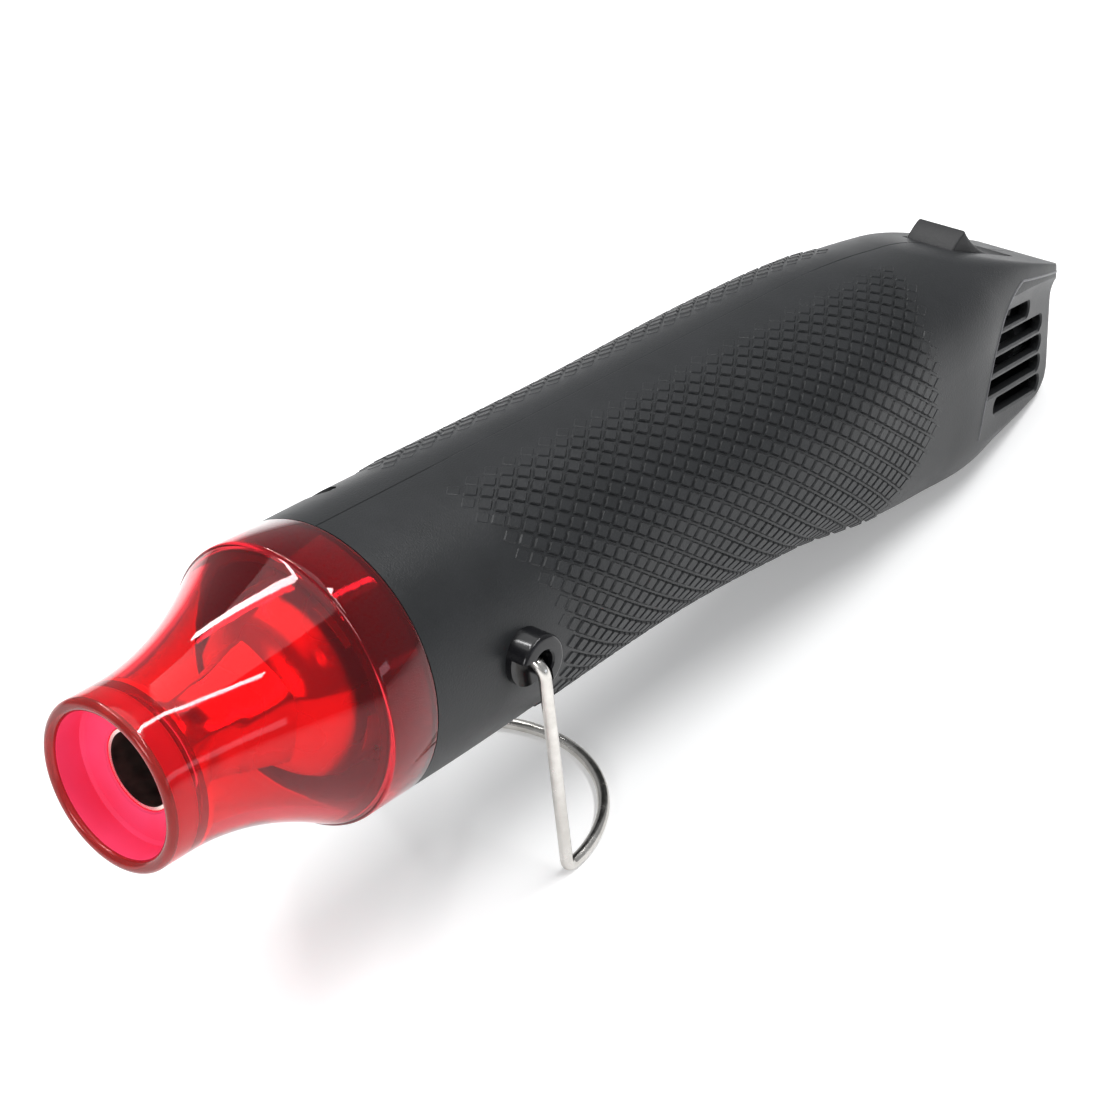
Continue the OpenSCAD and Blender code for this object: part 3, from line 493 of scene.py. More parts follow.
def inlet_boss(side):
    """Half of the tube inside the tail's end wall that the cord's inlet is bored into."""
    turn = np.radians(np.linspace(0, 180, 33))
    radius = inlet_radius + inlet_wall
    outline = np.stack([side * radius * np.sin(turn), radius * np.cos(turn) - inlet_drop], -1)
    rings = [np.column_stack([np.full(33, u), outline]) for u in (tail_end - boss_length, tail_end - 1)]
    return ring_solid("boss", rings)


def screw_post(side, u, z):
    """A round post for one screw, from near the parting plane out to the wall, trimmed by the skin."""
    post = round_tool((u, side * post_foot, z), (0, side, 0), post_radius, post_length)
    return carve(post, [half_solid("within", side, hollow_stations, hollow_angles, 0.8, 0)], "INTERSECT")


def half_shell(name, side):
    """One shell: the skin less its hollow, panel, slots and window, then the boss, posts and bores."""
    shell = half_solid(name, side, stations, angles, 0, 0, groove=0.2)
    tools = [half_solid("hollow", side, hollow_stations, hollow_angles, wall, 1.0), recess_tool(side)]
    tools += [slot_tool(side, k) for k in range(5)]
    tools.append(window_tool())
    carve(shell, tools)
    carve(shell, [inlet_boss(side)] + [screw_post(side, u, z) for u, z in screw_places], "UNION")
    if side > 0:
        seats = [(u, screw_seat + seat_length, z) for u, z in screw_places]
        carve(shell, [round_tool(seat, (0, -1, 0), screw_head_radius, seat_length) for seat in seats])
    carve(shell, [round_tool((tail_end, 0, -inlet_drop), (-1, 0, 0), inlet_radius, inlet_bore, inlet_rim)])
    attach(shell, "housing")
    return shell


shell_left = half_shell("shell_half_left", -1)
shell_right = half_shell("shell_half_right", 1)
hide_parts("shell_left")
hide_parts("shell_right")

# The skirt's edges: on each side the shell's thin edge ahead of the panel and along the roof
# line, a part of the moulding, glossier, and painted pale as a painted highlight on its rounded edge.
edge_highlight_abs = new_material("edge_highlight_abs", (0.09, 0.09, 0.095), 0.3)
highlight_cloud = mottle(edge_highlight_abs, 3, 3)
vary(edge_highlight_abs, highlight_cloud, "Base Color", (0.07, 0.07, 0.075), (0.13, 0.13, 0.14))
vary(edge_highlight_abs, highlight_cloud, "Roughness", 0.26, 0.4)
bead_radius = 0.22
bead_sink = 0.08
bead_foot = 27
bead_past_tail = -2.2


def tube_along(name, path, radius, material, around=20):
    """A round tube carried along a path, with each ring square to the path's direction.

    The ring's first direction is passed along by taking off its share along the new direction."""
    path = np.asarray(path, float)
    forward = np.gradient(path, axis=0)
    forward /= np.linalg.norm(forward, axis=1, keepdims=True)
    side_way = np.cross(forward[0], [0.3, 0.2, 0.9])
    frames = []
    for f in forward:
        side_way = side_way - f * (side_way @ f)
        side_way /= np.linalg.norm(side_way)
        frames.append(side_way)
    first = np.array(frames)
    second = np.cross(forward, first)
    turn = np.linspace(0, 2 * np.pi, around, endpoint=False)
    out = np.cos(turn)[None, :, None] * first[:, None] + np.sin(turn)[None, :, None] * second[:, None]
    return outward(ring_solid(name, path[:, None] + radius * out, material))


def skirt_bead(name, side):
    """The rounded edge of the skirt: a fine bead along the roof line and down the skirt, laid on the skin.

    At each place the skin's height across is read off its section at that u and z."""
    down = np.linspace(0, 1, 110) ** 1.6 * bead_foot
    along = np.concatenate([np.linspace(bead_past_tail, skirt_front(0.0), 40)[:-1], skirt_front(down)])
    below = np.concatenate([np.zeros(39), down])
    spot = roof_start + along[:, None] * roof_along + below[:, None] * roof_below
    fine = np.linspace(20, 178, 600)
    path = []
    for u, z in spot:
        around = skin(np.full(600, u), fine)
        y = np.interp(-z, -around[2], around[1])
        path.append([u, side * (y - bead_sink), z])
    # The bead's pale finish is a painted highlight along the edge.
    bead = tube_along(name, path, bead_radius, edge_highlight_abs, 10)
    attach(bead, "housing")


skirt_bead("skirt_edge_left", -1)
skirt_bead("skirt_edge_right", 1)

# The spigot: the thinner front end of the shells, which the red guard is pushed over.
# It is moulded with them, and shows dark through the guard's collar.
guard_wall = 1.8
collar_radius = 22.3
collar_length = 9.6
spigot_radius = collar_radius - guard_wall - 0.1
spigot_front = guard_length - collar_length + 1
spigot_rear = body_front + 3.5
spigot_edge = 0.3


def lathe(name, outline, material, steps=128, crease=35, ripple=None):
    """A solid of revolution: a closed outline of points (radius, u) carried round the nozzle's axis.

    A ripple function may change the radius by place and turn."""
    outline = np.array(outline, float)
    turn = np.linspace(0, 2 * np.pi, steps, endpoint=False)
    radius = outline[:, :1] + 0 * turn
    if ripple:
        radius = radius + ripple(outline[:, 1:2], turn[None, :])
    points = np.stack([outline[:, 1:2] + 0 * turn, radius * np.sin(turn), radius * np.cos(turn)], -1)
    rows = len(outline)
    faces = np.array(ring_faces(rows + 1, steps, ends=False)) % (rows * steps)
    return outward(new_piece(name, points, faces.tolist(), material, crease))


spigot = lathe("shell_spigot", [
    (spigot_radius - wall, spigot_front + spigot_edge), (spigot_radius - wall + spigot_edge, spigot_front),
    (spigot_radius - spigot_edge, spigot_front), (spigot_radius, spigot_front + spigot_edge),
    (spigot_radius, body_front + spigot_edge), (spigot_radius, spigot_rear),
    (spigot_radius - wall, spigot_rear),
], black_abs)
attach(spigot, "housing")

# The grip: raised diamond pads in rows that cross at 74 degrees, moulded on each side of the
# body. The rows thin out towards the edges of the patch, and the crown stays smooth.
cell_along, cell_round = 2.05, 1.55
pattern_radius = 22.0
pattern_middle = 130
pad_height = 0.42
pad_sink = 0.06
pad_foot, pad_top = 0.45, 0.345
pad_corner = 0.8
patch_front = 63.5
patch_rear = 170.5
patch_upper, patch_lower = 15.5, 160
least_inside = 0.6
fade_width = 5
least_fullness = 0.15
screw_clearance = 3.6


def patch_depth(u, angle):
    """How far a place lies inside the grip patch: the least of its distances to the four edges.

    The front edge leans rearward down the side, and the rear edge is drawn out above and cut back below."""
    front = patch_front + 6.5 * blend(angle, 30, 90)
    drawn_out = 5.2 * np.clip((62 - angle) / 34, 0, 1)
    cut_back = 8.5 * np.clip((angle - 102) / 30, 0, 1) ** 2
    rear = patch_rear + drawn_out - cut_back
    upper = np.radians(angle - patch_upper) * pattern_radius
    lower = np.radians(patch_lower - angle) * pattern_radius
    return np.minimum(np.minimum(u - front, rear - u), np.minimum(upper, lower))


def on_skin(u, angle, height, side):
    """The skin's point lifted along its normal, which is the cross product of two short steps on it."""
    step = 0.05
    here = np.stack(skin(u, angle), -1)
    ahead = np.stack(skin(u + step, angle), -1)
    beside = np.stack(skin(u, angle + step), -1)
    normal = np.cross(beside - here, ahead - here)
    normal *= np.sign(normal[..., 1:2]) / np.linalg.norm(normal, axis=-1, keepdims=True)
    points = here + normal * height[..., None]
    points[..., 1] *= side
    return points


def grip_patch(name, side):
    """All pads of one side as one mesh: two rings of eight corners on each lattice cell, and a flat top.

    The far side leaves its screw holes free."""
    i, j = np.meshgrid(np.arange(-60, 61), np.arange(-60, 61), indexing="ij")
    u = (pattern_middle + (i + j) * cell_along).ravel()
    angle = 90 + np.degrees((i - j).ravel() * cell_round / pattern_radius)
    inside = patch_depth(u, angle)
    keep = inside > least_inside
    if side > 0:
        z = skin(u, angle)[2]
        for screw_u, screw_z in screw_places:
            keep &= np.hypot(u - screw_u, z - screw_z) > screw_clearance
    u, angle, inside = u[keep], angle[keep], inside[keep]
    fullness = np.clip(inside / fade_width, least_fullness, 1)[:, None]
    c = pad_corner
    outline = np.array([(1, c), (c, 1), (-c, 1), (-1, c), (-1, -c), (-c, -1), (c, -1), (1, -c)])
    rings = []
    for half, lift in [(pad_foot, -pad_sink + 0 * fullness), (pad_top, pad_height * fullness)]:
        a = outline[:, 0] * half + 0 * fullness
        b = outline[:, 1] * half + 0 * fullness
        ring_u = u[:, None] + (a + b) * cell_along
        ring_angle = angle[:, None] + np.degrees((a - b) * cell_round / pattern_radius)
        rings.append(on_skin(ring_u, ring_angle, lift + 0 * a, side))
    points = np.concatenate(rings, 1)
    k = np.arange(8)
    after = (k + 1) % 8
    start = np.arange(len(u))[:, None, None] * 16
    quads = (np.stack([k, after, after + 8, k + 8], -1)[None] + start).reshape(-1, 4)
    tops = (k[None, None] + 8 + start).reshape(-1, 8)
    if side < 0:
        quads, tops = quads[:, ::-1], tops[:, ::-1]
    patch = new_piece(name, points, quads.tolist() + tops.tolist(), black_abs, crease=12)
    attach(patch, "housing")


grip_patch("grip_pads_left", -1)
grip_patch("grip_pads_right", 1)

# The lugs: a round boss on each side, with an open ring on it that the wire's bent end turns in.
# They are moulded with the shells and polished, and the ring's open ends stop the wire's swing.
lug_abs = new_material("lug_abs", (0.006, 0.006, 0.007), 0.16, IOR=1.4)
wave = mottle(lug_abs, 2.5, 2)
vary(lug_abs, wave, "Roughness", 0.12, 0.2)
grain(lug_abs, wave, 0.05, 0.3)
pivot_at = body_front + 18.7
lug_radius = 4.4
lug_root = 19.6
lug_foot, lug_flare = 21.5, 0.5
lug_reach = 25.8
lug_edge = 0.7
wire_radius = 1.0
wire_play = 0.08
leg_play = 0.3
leg_offset = lug_reach - 0.4 - wire_radius
lug_base = leg_offset - wire_radius - 0.2
leg_angle = np.arctan2(5.4, 39.5)
fold_angle = np.radians(100)
sweep_out, sweep_middle, sweep_reach = 12, 20, 30


def along_leg(angle):
    """The leg's direction at this angle from straight down, as (u, z)."""
    return np.array([np.sin(angle), -np.cos(angle)])


def beside_leg(angle):
    """The direction square to the leg, as (u, z)."""
    return np.array([np.cos(angle), np.sin(angle)])


def lug(name, side):
    """A round boss with a rounded rim, less the wire's bore and the room that the leg sweeps."""
    turn = np.linspace(0, 2 * np.pi, 96, endpoint=False)
    fall = np.radians(np.linspace(0, 90, 7))
    reach = np.concatenate([[lug_root, lug_foot], lug_reach - lug_edge + lug_edge * np.sin(fall)])
    size = np.concatenate([[lug_radius + lug_flare, lug_radius], lug_radius - lug_edge * (1 - np.cos(fall))])
    ring = np.stack([np.cos(turn), 0 * turn, np.sin(turn)], -1)
    points = size[:, None, None] * ring + (side * reach)[:, None, None] * sideways + [pivot_at, 0, 0]
    boss = ring_solid(name, points, lug_abs)
    half = wire_radius + leg_play
    folded = leg_angle - fold_angle
    sweep = np.array([half * beside_leg(leg_angle),
                      half * beside_leg(leg_angle) + sweep_out * along_leg(leg_angle),
                      sweep_middle * along_leg(leg_angle - fold_angle / 2),
                      sweep_out * along_leg(folded) - half * beside_leg(folded),
                      -half * beside_leg(folded)])
    rings = []
    for y in (lug_base, sweep_reach):
        rings.append(np.stack([pivot_at + sweep[:, 0], np.full(5, side * y), sweep[:, 1]], -1))
    top, inward = (pivot_at, side * lug_reach, 0), (0, -side, 0)
    carve(boss, [ring_solid("sweep", rings),
                 round_tool(top, inward, 2 * wire_radius, lug_reach - lug_base, 0.25),
                 round_tool(top, inward, wire_radius + wire_play, 12)])
    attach(boss, "housing")


lug("stand_lug_left", -1)
lug("stand_lug_right", 1)

# The rocker: black ABS with a finer, duller grain, 10 mm wide, with a hollow top and two round
# ends about its pivot. It tips in the window on two pins, and is stored with its front end up.
rocker_abs = new_material("rocker_abs", (0.02, 0.02, 0.021), 0.5, IOR=1.38)
fine_grain = mottle(rocker_abs, 0.25, 2)
vary(rocker_abs, fine_grain, "Roughness", 0.46, 0.58)
grain(rocker_abs, fine_grain, 0.04, 0.5)
rocker_radius = 10.65
rocker_depth = 4.2
rocker_waist = 4.5
rocker_tip = 6.2
rocker_top_half = 8.6
rocker_keel = [[2.0, -2.6], [-2.0, -2.6]]
rocker_half_width = 5.0
rocker_edge = 0.5
rocker_lie = np.radians(11.5)
pin_reach, pin_radius = 6.3, 1.0


def rocker_section():
    """The rocker's side view in its middle position: a dished top, round ends about the pivot, and a keel."""
    top_x = np.linspace(-rocker_top_half, rocker_top_half, 33)
    dish = (np.abs(top_x) / (rocker_top_half + 0.1)) ** 2.2
    top = np.stack([top_x, rocker_waist + (rocker_tip - rocker_waist) * dish], -1)
    start = np.arctan2(top[-1, 1], top[-1, 0])
    end = np.arctan2(-1.0, 10.6)
    turn = np.linspace(start, end, 14)[1:]
    right = rocker_radius * np.stack([np.cos(turn), np.sin(turn)], -1)
    left = right[::-1] * [-1, 1]
    return np.concatenate([top, right, rocker_keel, left])


def make_rocker():
    """The section carried across the rocker's width, with both rims drawn in by a small rounded edge."""
    section = rocker_section()
    fall = np.radians(np.linspace(0, 90, 5))
    drawn_in = rocker_edge * (1 - np.sin(fall))
    shrink = np.concatenate([drawn_in, drawn_in[::-1]])
    half = rocker_half_width - rocker_edge * (1 - np.cos(fall))
    across = np.concatenate([-half, half[::-1]])
    after, before = np.roll(section, -1, 0), np.roll(section, 1, 0)
    tangent = (after - before) / np.linalg.norm(after - before, axis=1, keepdims=True)
    inward = np.stack([tangent[:, 1], -tangent[:, 0]], -1)
    x = section[:, 0] + inward[:, 0] * shrink[:, None]
    z = section[:, 1] + inward[:, 1] * shrink[:, None]
    c, s = np.cos(rocker_lie), np.sin(rocker_lie)
    x, z = x * c + z * s, -x * s + z * c
    points = on_plateau(x, across[:, None] + 0 * x, z - rocker_depth)
    rocker = outward(ring_solid("rocker", points, rocker_abs, 30))
    pin_start = on_plateau(0.0, -pin_reach, -rocker_depth)
    pin = round_tool(pin_start, (0, 1, 0), pin_radius, 2 * pin_reach)
    return carve(rocker, [pin], "UNION", 30)


rocker = make_rocker()
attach(rocker, "rocker")
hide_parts("switch_rocker")

# The guard: one piece of red see-through polycarbonate, flared from the mouth to a collar band
# that is pushed over the spigot. A web behind the mouth rim holds the metal outlet.

# The wall is clear and glossy, with faint waves from moulding.
red_guard = new_material("red_guard", (0.88, 0.016, 0.035), 0.05, Transmission_Weight=0.97, IOR=1.49,
                         Specular_Tint=(1, 0.6, 0.62, 1))
wave = mottle(red_guard, 14, 2)
vary(red_guard, wave, "Roughness", 0.02, 0.07)
grain(red_guard, wave, 0.25, 0.25)
# The mouth's inner faces are frosted and opaque, painted a paler pink than the guard's red: a painted glow
# for the light that comes through the wall from behind.
mouth_painted_glow = new_material("mouth_painted_glow", (1.0, 0.03, 0.12), 0.6, Specular_IOR_Level=0.15)
vary(mouth_painted_glow, mottle(mouth_painted_glow, 12, 2), "Base Color", (0.99, 0.062, 0.16), (1.0, 0.085, 0.22))
# The lip is seen down the length of the wall, so it is painted deeper and browner: painted shade for the
# light's long way through the red.
lip_painted_shade = new_material("lip_painted_shade", (0.3, 0.02, 0.02), 0.12, Transmission_Weight=0.3,
                       Specular_Tint=(1, 0.5, 0.5, 1))
vary(lip_painted_shade, mottle(lip_painted_shade, 6, 2), "Base Color", (0.2, 0.015, 0.013), (0.3, 0.025, 0.022))
mouth_radius = 13.3
lip_radius = 1.0
recess_radius = mouth_radius - 2 * lip_radius
web_depth = 5.8
web_back = web_depth + 1.6
flare_start = 6.0
flare_end = guard_length - collar_length
flare_rise = 8.4
shoulder_round = 0.6
outlet_radius = 5.8
tube_radius = outlet_radius + 0.5
web_hole = tube_radius + 0.15


def flare(u):
    """The guard's outer radius: a parabola from the mouth to the shoulder."""
    t = np.clip((u - flare_start) / (flare_end - flare_start), 0, 1)
    return mouth_radius + flare_rise * t * t


def guard_outline():
    """The guard's section as (radius, u): lip, flare, shoulder and band, and back inside to the web."""
    turn = np.radians(np.arange(0, 181, 12))
    lip = np.stack([recess_radius + lip_radius * (1 - np.cos(turn)), lip_radius * (1 - np.sin(turn))], -1)
    u = np.linspace(2.2, flare_end, 60)
    outer = np.stack([flare(u), u], -1)
    turn = np.radians(np.arange(15, 91, 15))
    shoulder = np.stack([collar_radius - shoulder_round * (1 - np.sin(turn)),
                         flare_end + 0.9 - shoulder_round * np.cos(turn)], -1)
    band = [(collar_radius, guard_length - 0.3), (collar_radius - 0.1, guard_length - 0.08),
            (collar_radius - 0.35, guard_length), (spigot_radius + 0.2, guard_length),
            (spigot_radius + 0.1, guard_length - 0.1), (spigot_radius + 0.1, spigot_front + 0.2),
            (spigot_radius + 0.05, spigot_front - 0.1)]
    inner_u = np.linspace(spigot_front - 0.9, web_back + 0.6, 50)
    inner = np.stack([flare(inner_u - 0.7) - guard_wall, inner_u], -1)
    neck = flare(0) - guard_wall
    web = [(neck - 0.3, web_back + 0.12), (neck - 1.0, web_back), (web_hole + 0.3, web_back),
           (web_hole, web_back - 0.3), (web_hole, web_depth + 0.3), (web_hole + 0.3, web_depth),
           (recess_radius - 0.5, web_depth), (recess_radius, web_depth - 0.5)]
    return np.concatenate([lip, outer, shoulder, band, inner, web])


guard = lathe("nozzle_guard_clear", guard_outline(), red_guard, steps=160, crease=40)
guard.data.materials.append(mouth_painted_glow)
guard.data.materials.append(lip_painted_shade)
centres = np.empty(len(guard.data.polygons) * 3)
guard.data.polygons.foreach_get("center", centres)
from_mouth = (centres.reshape(-1, 3) - mouth_middle) * 1000
depth = from_mouth @ rearward
off_axis = np.linalg.norm(from_mouth - depth[:, None] * rearward, axis=1)
recess = (off_axis < recess_radius + 0.02) & (depth < web_depth + 0.4) & (depth > lip_radius)
lip = depth < lip_radius + 0.1
# The recess's faces get the painted glow pink, and the lip's faces the painted deeper brown.
guard.data.polygons.foreach_set("material_index", np.where(lip, 2, recess).astype(np.int32))
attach(guard, "housing")
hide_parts("nozzle_guard")

# The metal tube: spun from thin stainless sheet, with a straight outlet, a cone that is pressed
# with shallow flats, a shoulder and the long heater barrel. The heat has tinted it straw in soft
# clouds, and darkened its inner face.
nozzle_steel = new_material("nozzle_steel", (0.82, 0.8, 0.77), 0.2, 1.0)
vary(nozzle_steel, mottle(nozzle_steel, 16, 2), "Base Color", (0.78, 0.72, 0.62), (0.86, 0.85, 0.83))
dents = mottle(nozzle_steel, 9, 1)
vary(nozzle_steel, dents, "Roughness", 0.2, 0.34)
grain(nozzle_steel, dents, 0.5, 0.4)
burnt_steel = new_material("burnt_steel", (0.05, 0.04, 0.035), 0.55, 0.6)
scale_marks = mottle(burnt_steel, 3, 3)
vary(burnt_steel, scale_marks, "Base Color", (0.03, 0.024, 0.022), (0.09, 0.07, 0.06))
vary(burnt_steel, scale_marks, "Roughness", 0.45, 0.65)
tube_front = web_depth + 0.4
tube_rear = tube_front + 86.5
tube_wall = 0.5
tube_steps = 144
barrel_radius = 15.0
cone_start = tube_front + 6.5
cone_length = 14.9
cone_end = cone_start + cone_length
cone_rise = 3.5
flat_depth = 1.2


def pressed_flats(u, turn):
    """The radius taken by three rows of five flats, each sunk by a cosine between two sharp ridges."""
    swell = blend(u, cone_start - 1, cone_start + 4) * (1 - blend(u, cone_end + 6, cone_end + 10))
    odd = blend(u, cone_start + 5.5, cone_start + 7.5) * (1 - blend(u, cone_start + 13, cone_start + 15))
    first = np.abs(np.cos(2.5 * turn + 0.5 + 0.03 * u))
    second = np.abs(np.cos(2.5 * turn + 2.0 - 0.03 * u))
    return -flat_depth * swell * ((1 - odd) * first + odd * second)


cone = [(tube_radius + cone_rise * t**1.2, cone_start + cone_length * t) for t in np.linspace(0, 1, 16)]
tube_outline = [
    (tube_radius, tube_front), (tube_radius, tube_front + 3), *cone,
    (barrel_radius - 2.4, cone_end + 1.6), (barrel_radius - 1.0, cone_end + 4.2),
    (barrel_radius - 0.2, cone_end + 6.6), (barrel_radius, cone_end + 7.6), (barrel_radius, tube_rear),
]
inner_outline = [(r - tube_wall, u) for r, u in tube_outline[::-1]]
tube = lathe("nozzle_tube_steel", tube_outline + inner_outline, nozzle_steel, tube_steps, 40, pressed_flats)
tube.data.materials.append(burnt_steel)
ring = np.arange(len(tube.data.polygons)) // tube_steps
inside = (ring >= len(tube_outline)) & (ring < 2 * len(tube_outline) - 1)
tube.data.polygons.foreach_set("material_index", inside.astype(np.int32))
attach(tube, "housing")
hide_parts("nozzle_tube")

# The stand: one length of nickel-plated spring wire, 2 mm thick, bent to a half-round foot and
# two legs, with its ends turned in to sit in the lugs. It is bright and a little warm.
stand_wire = new_material("stand_wire", (0.56, 0.545, 0.51), 0.2, 1.0)
streak = mottle(stand_wire, 3, 3)
vary(stand_wire, streak, "Roughness", 0.14, 0.3)
vary(stand_wire, streak, "Base Color", (0.52, 0.5, 0.47), (0.68, 0.66, 0.63))
foot_at = pivot_at + 5.4
foot_drop = 39.5
foot_radius = 24.0
foot_half_turn = np.radians(82)
pin_end = front_radius - wall - 2.6
pivot_corner = leg_offset + 1.1
bend_radii = [2.8, 1.6]
rest_tilt = np.arctan2(-rearward[2], rearward[0])


def rounded_route(corners, radii, step=0.35):
    """A route through corner points with each inner corner rounded by an arc of its radius."""
    corners = [np.asarray(c, float) for c in corners]
    route = [corners[0]]
    for before, here, after, radius in zip(corners, corners[1:], corners[2:], radii):
        a, b = before - here, after - here
        a, b = a / np.linalg.norm(a), b / np.linalg.norm(b)
        half = np.arccos(np.clip(a @ b, -1, 1)) / 2
        middle = here + (a + b) / np.linalg.norm(a + b) * radius / np.sin(half)
        start = here + a * radius / np.tan(half)
        sweep = np.pi - 2 * half
        turn = np.linspace(0, sweep, max(4, int(radius * sweep / step)))[:, None]
        route += list(middle + np.cos(turn) * (start - middle) - np.sin(turn) * a * radius)
    return np.array(route + [corners[-1]])


def make_stand():
    """Pin, leg, half-round foot, leg and pin as one wire.

    The foot lies flat on the table, so it is turned back by the rest tilt."""
    turn = np.linspace(-foot_half_turn, foot_half_turn, 90)
    c, s = np.cos(rest_tilt), np.sin(rest_tilt)
    out, across = foot_radius * np.cos(turn), foot_radius * np.sin(turn)
    foot = np.stack([foot_at + out * c, across, -foot_drop + out * s], -1)
    corner = np.array([foot_at, foot_radius, -foot_drop])
    pivot = np.array([pivot_at, pivot_corner, 0.0])
    end = np.array([pivot_at, pin_end, 0.0])
    half = rounded_route([end, pivot, corner, foot[-1]], bend_radii)
    route = np.concatenate([half * [1, -1, 1], foot, half[::-1]])
    keep = np.concatenate([[True], np.linalg.norm(np.diff(route, axis=0), axis=1) > 0.02])
    return tube_along("stand_wire_bent", route[keep], wire_radius, stand_wire, 24)


stand = make_stand()
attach(stand, "stand")
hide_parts("wire_stand")

# The pieces inside keep their solids and get their finishes: mica boards and sleeve, ceramic
# disc, heating wire, fan, motor, board, switch and clamp.


def cloudy(name, low, high, rough_low, rough_high, size, metallic=0.0, bump_size=0.5, bump_depth=0.03):
    """A finish whose tone and gloss drift between two levels in clouds, over a fine bump."""
    material = new_material(name, low, rough_low, metallic)
    cloud = mottle(material, size, 3)
    vary(material, cloud, "Base Color", low, high)
    vary(material, cloud, "Roughness", rough_low, rough_high)
    grain(material, mottle(material, bump_size, 2), bump_depth, 0.6)
    return material


inner_finishes = [
    (["mica_sleeve", "mica_board_upright", "mica_board_flat"],
     ("mica", (0.55, 0.44, 0.26), (0.74, 0.66, 0.48), 0.25, 0.5, 4)),
    (["heater_coil"], ("heating_wire", (0.2, 0.18, 0.17), (0.42, 0.38, 0.34), 0.35, 0.55, 2, 1.0)),
    (["heater_end_disc", "thermal_fuse"], ("ceramic", (0.76, 0.72, 0.64), (0.86, 0.83, 0.77), 0.5, 0.7, 3)),
    (["nozzle_flange", "thermal_cutout", "motor_can"],
     ("plated_steel", (0.56, 0.56, 0.57), (0.7, 0.7, 0.71), 0.22, 0.4, 6, 1.0)),
    (["heater_leads"], ("glass_braid", (0.7, 0.7, 0.67), (0.82, 0.82, 0.8), 0.6, 0.8, 1, 0.0, 0.3, 0.08)),
    (["fan_impeller", "fan_shroud"], ("fan_nylon", (0.03, 0.03, 0.032), (0.05, 0.05, 0.052), 0.4, 0.55, 5)),
    (["motor_magnets"], ("ferrite", (0.03, 0.028, 0.028), (0.06, 0.056, 0.055), 0.6, 0.8, 2)),
    (["motor_rotor"], ("copper_winding", (0.45, 0.18, 0.08), (0.62, 0.3, 0.15), 0.25, 0.45, 1.5, 1.0)),
    (["motor_bush_front", "motor_bush_rear", "motor_brushes"],
     ("sintered_bronze", (0.42, 0.27, 0.13), (0.56, 0.4, 0.22), 0.35, 0.55, 1.5, 1.0)),
    (["motor_end_cap"], ("white_nylon", (0.74, 0.73, 0.69), (0.84, 0.83, 0.79), 0.4, 0.55, 5)),
    (["motor_tabs", "switch_contacts"],
     ("tinned_brass", (0.62, 0.52, 0.3), (0.74, 0.66, 0.46), 0.25, 0.4, 3, 1.0)),
    (["motor_shaft", "motor_screws", "clamp_screws", "housing_screws"],
     ("screw_steel", (0.38, 0.38, 0.4), (0.55, 0.55, 0.56), 0.25, 0.45, 2, 1.0)),
    (["rectifier_board"], ("green_board", (0.02, 0.13, 0.05), (0.04, 0.2, 0.08), 0.3, 0.45, 4)),
    (["rectifier_diodes"], ("diode_epoxy", (0.015, 0.015, 0.016), (0.03, 0.03, 0.03), 0.4, 0.6, 1.5)),
    (["noise_capacitor"], ("film_capacitor", (0.42, 0.12, 0.02), (0.55, 0.2, 0.04), 0.2, 0.35, 4)),
    (["switch_body", "cord_clamp"],
     ("switch_nylon", (0.018, 0.018, 0.019), (0.032, 0.032, 0.033), 0.45, 0.6, 3)),
]
for node_names, values in inner_finishes:
    finish = cloudy(*values)
    for node_name in node_names:
        mesh = frame["nodes"][node_name].data
        mesh.materials.clear()
        mesh.materials.append(finish)

# The stage: a white table that takes the tool's soft shadow, a pale studio and five lamp strips.
# The camera stands in front of the nozzle's left side and looks down along the tool.
bpy.context.scene.view_settings.view_transform = "Standard"
focal_pixels = 3000
picture_pixels = 1100
sensor_width = 36.0
eye = np.array([-213.66, -273.26, 224.49])
look = np.array([0.6518, 0.58221, -0.48599])
right = np.array([0.6529, -0.75681, -0.03099])


def turned(direction):
    """A direction of the tool's frame, in the row frame."""
    return direction[0] * rearward + direction[1] * sideways + direction[2] * upward


def posed(name, data, right_way, up_way, back_way, middle):
    """A camera or lamp in the scene, from its own three axes and its place in the row frame."""
    pose = np.eye(4)
    pose[:3] = np.stack([right_way, up_way, back_way, middle], -1)
    thing = bpy.data.objects.new(name, data)
    thing.matrix_world = Matrix(pose.tolist())
    bpy.context.scene.collection.objects.link(thing)
    return thing


camera_data = bpy.data.cameras.new("camera")
camera_data.sensor_width = sensor_width
camera_data.lens = focal_pixels / picture_pixels * sensor_width
camera_data.clip_start = 0.01
camera_data.clip_end = 20
back, right = -turned(look), turned(right)
bpy.context.scene.camera = posed("camera", camera_data, right, np.cross(back, right), back, place(eye))


def highest(nodes, links, first, second):
    """The greater of two values."""
    node = nodes.new("ShaderNodeMath")
    node.operation = "MAXIMUM"
    links.new(first, node.inputs[0])
    links.new(second, node.inputs[1])
    return node.outputs[0]


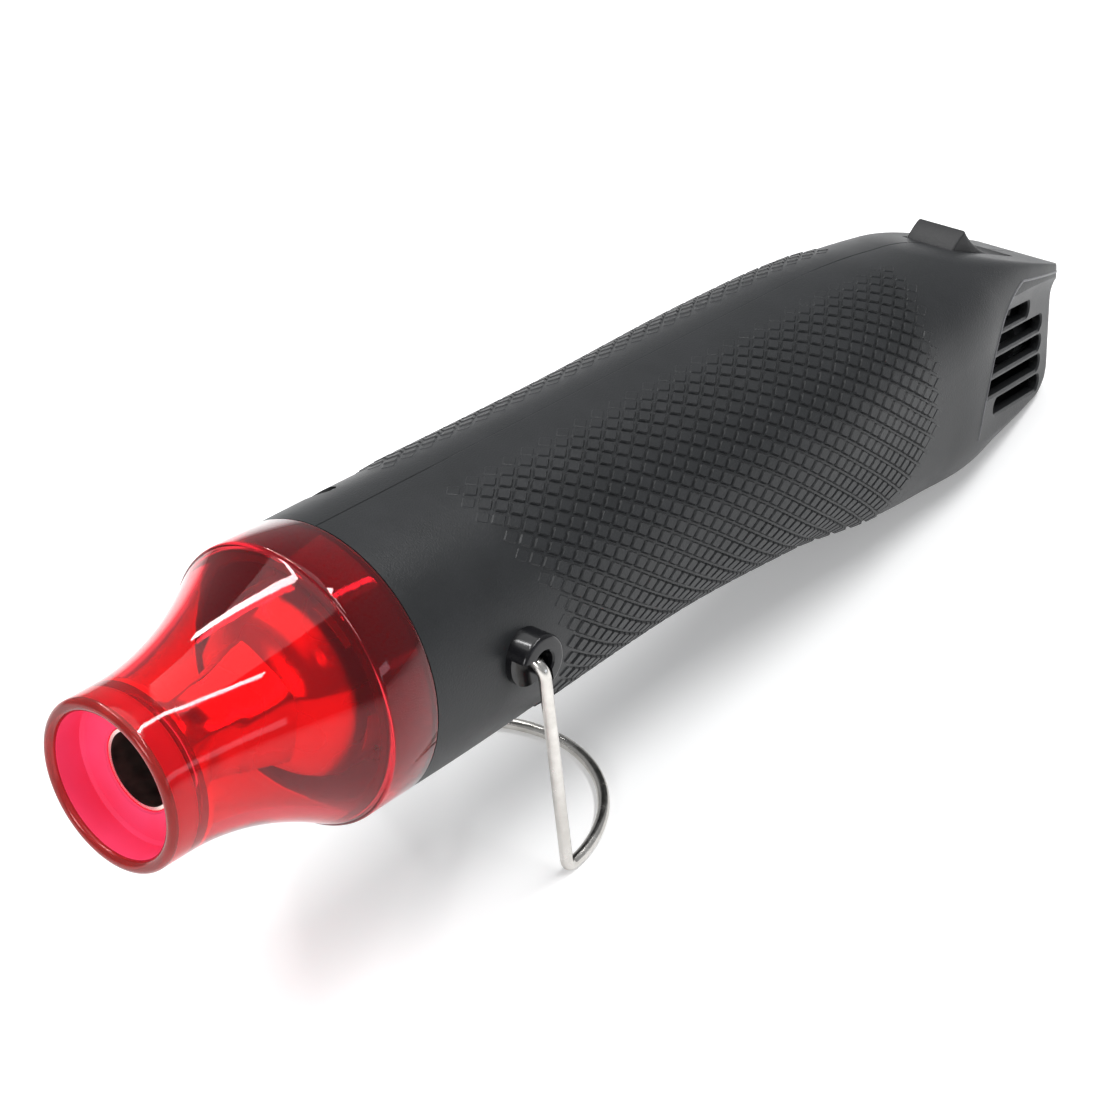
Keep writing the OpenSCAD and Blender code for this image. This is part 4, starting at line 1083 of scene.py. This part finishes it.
def white_table():
    """A matt white table that takes the shadow.

    It is lifted to white for rays from the camera and from glossy and clear surfaces."""
    material = bpy.data.materials.new("white_table")
    material.use_nodes = True
    nodes, links = material.node_tree.nodes, material.node_tree.links
    nodes.clear()
    diffuse = nodes.new("ShaderNodeBsdfDiffuse")
    diffuse.inputs["Color"].default_value = (0.86, 0.86, 0.86, 1)
    glow = nodes.new("ShaderNodeEmission")
    path = nodes.new("ShaderNodeLightPath").outputs
    sent_on = highest(nodes, links, path["Is Glossy Ray"], path["Is Transmission Ray"])
    seen = highest(nodes, links, path["Is Camera Ray"], sent_on)
    lift = nodes.new("ShaderNodeMath")
    lift.operation = "MULTIPLY"
    lift.inputs[1].default_value = 0.28
    links.new(seen, lift.inputs[0])
    links.new(lift.outputs[0], glow.inputs["Strength"])
    total = nodes.new("ShaderNodeAddShader")
    out = nodes.new("ShaderNodeOutputMaterial")
    links.new(diffuse.outputs[0], total.inputs[0])
    links.new(glow.outputs[0], total.inputs[1])
    links.new(total.outputs[0], out.inputs["Surface"])
    return material


table_half = 3.0
table_corners = [(table_half * x, table_half * y, 0) for x, y in ((-1, -1), (1, -1), (1, 1), (-1, 1))]
table_mesh = bpy.data.meshes.new("table")
table_mesh.from_pydata(table_corners, [], [(0, 1, 2, 3)])
table_mesh.materials.append(white_table())
table = bpy.data.objects.new("table", table_mesh)
bpy.context.scene.collection.objects.link(table)

world = bpy.data.worlds.new("studio")
world.use_nodes = True
bpy.context.scene.world = world
studio = world.node_tree.nodes["Background"]
studio.inputs["Color"].default_value = (0.96, 0.98, 1, 1)
studio.inputs["Strength"].default_value = 0.4


def strip(name, start, end, aim, width, power, tint=(1, 1, 1)):
    """A lamp strip between two places, turned about its length to face an aim point."""
    start, end, aim = np.array(start, float), np.array(end, float), np.array(aim, float)
    data = bpy.data.lights.new(name, "AREA")
    data.shape = "RECTANGLE"
    data.size, data.size_y = np.linalg.norm(end - start), width
    data.energy = power
    data.color = tint
    middle = (start + end) / 2
    length_way = (end - start) / np.linalg.norm(end - start)
    back = middle - aim
    back = back - length_way * (back @ length_way)
    back /= np.linalg.norm(back)
    posed(name, data, length_way, np.cross(back, length_way), back, middle)


strip("far_tube", (0.13, 0.547, 0.585), (-0.26, 0.149, 0.812), (0, 0, 0.05), 0.04, 2.6)
strip("near_tube", (0.4, -0.09, 0.67), (-0.066, -0.435, 0.716), (0, 0, 0.05), 0.04, 2.6)
strip("overhead", (-0.45, 0.1, 0.9), (0.55, 0.1, 0.9), (0.02, 0, 0.04), 1.0, 5.0)
strip("front", (-0.8, -0.22, 0.4), (-0.8, 0.02, 0.4), (-0.05, 0, 0.05), 0.25, 1.9)
strip("side", (-0.1, -0.9, 0.2), (0.6, -0.9, 0.2), (0.04, 0, 0.03), 0.1, 0.5, (0.82, 0.88, 1))
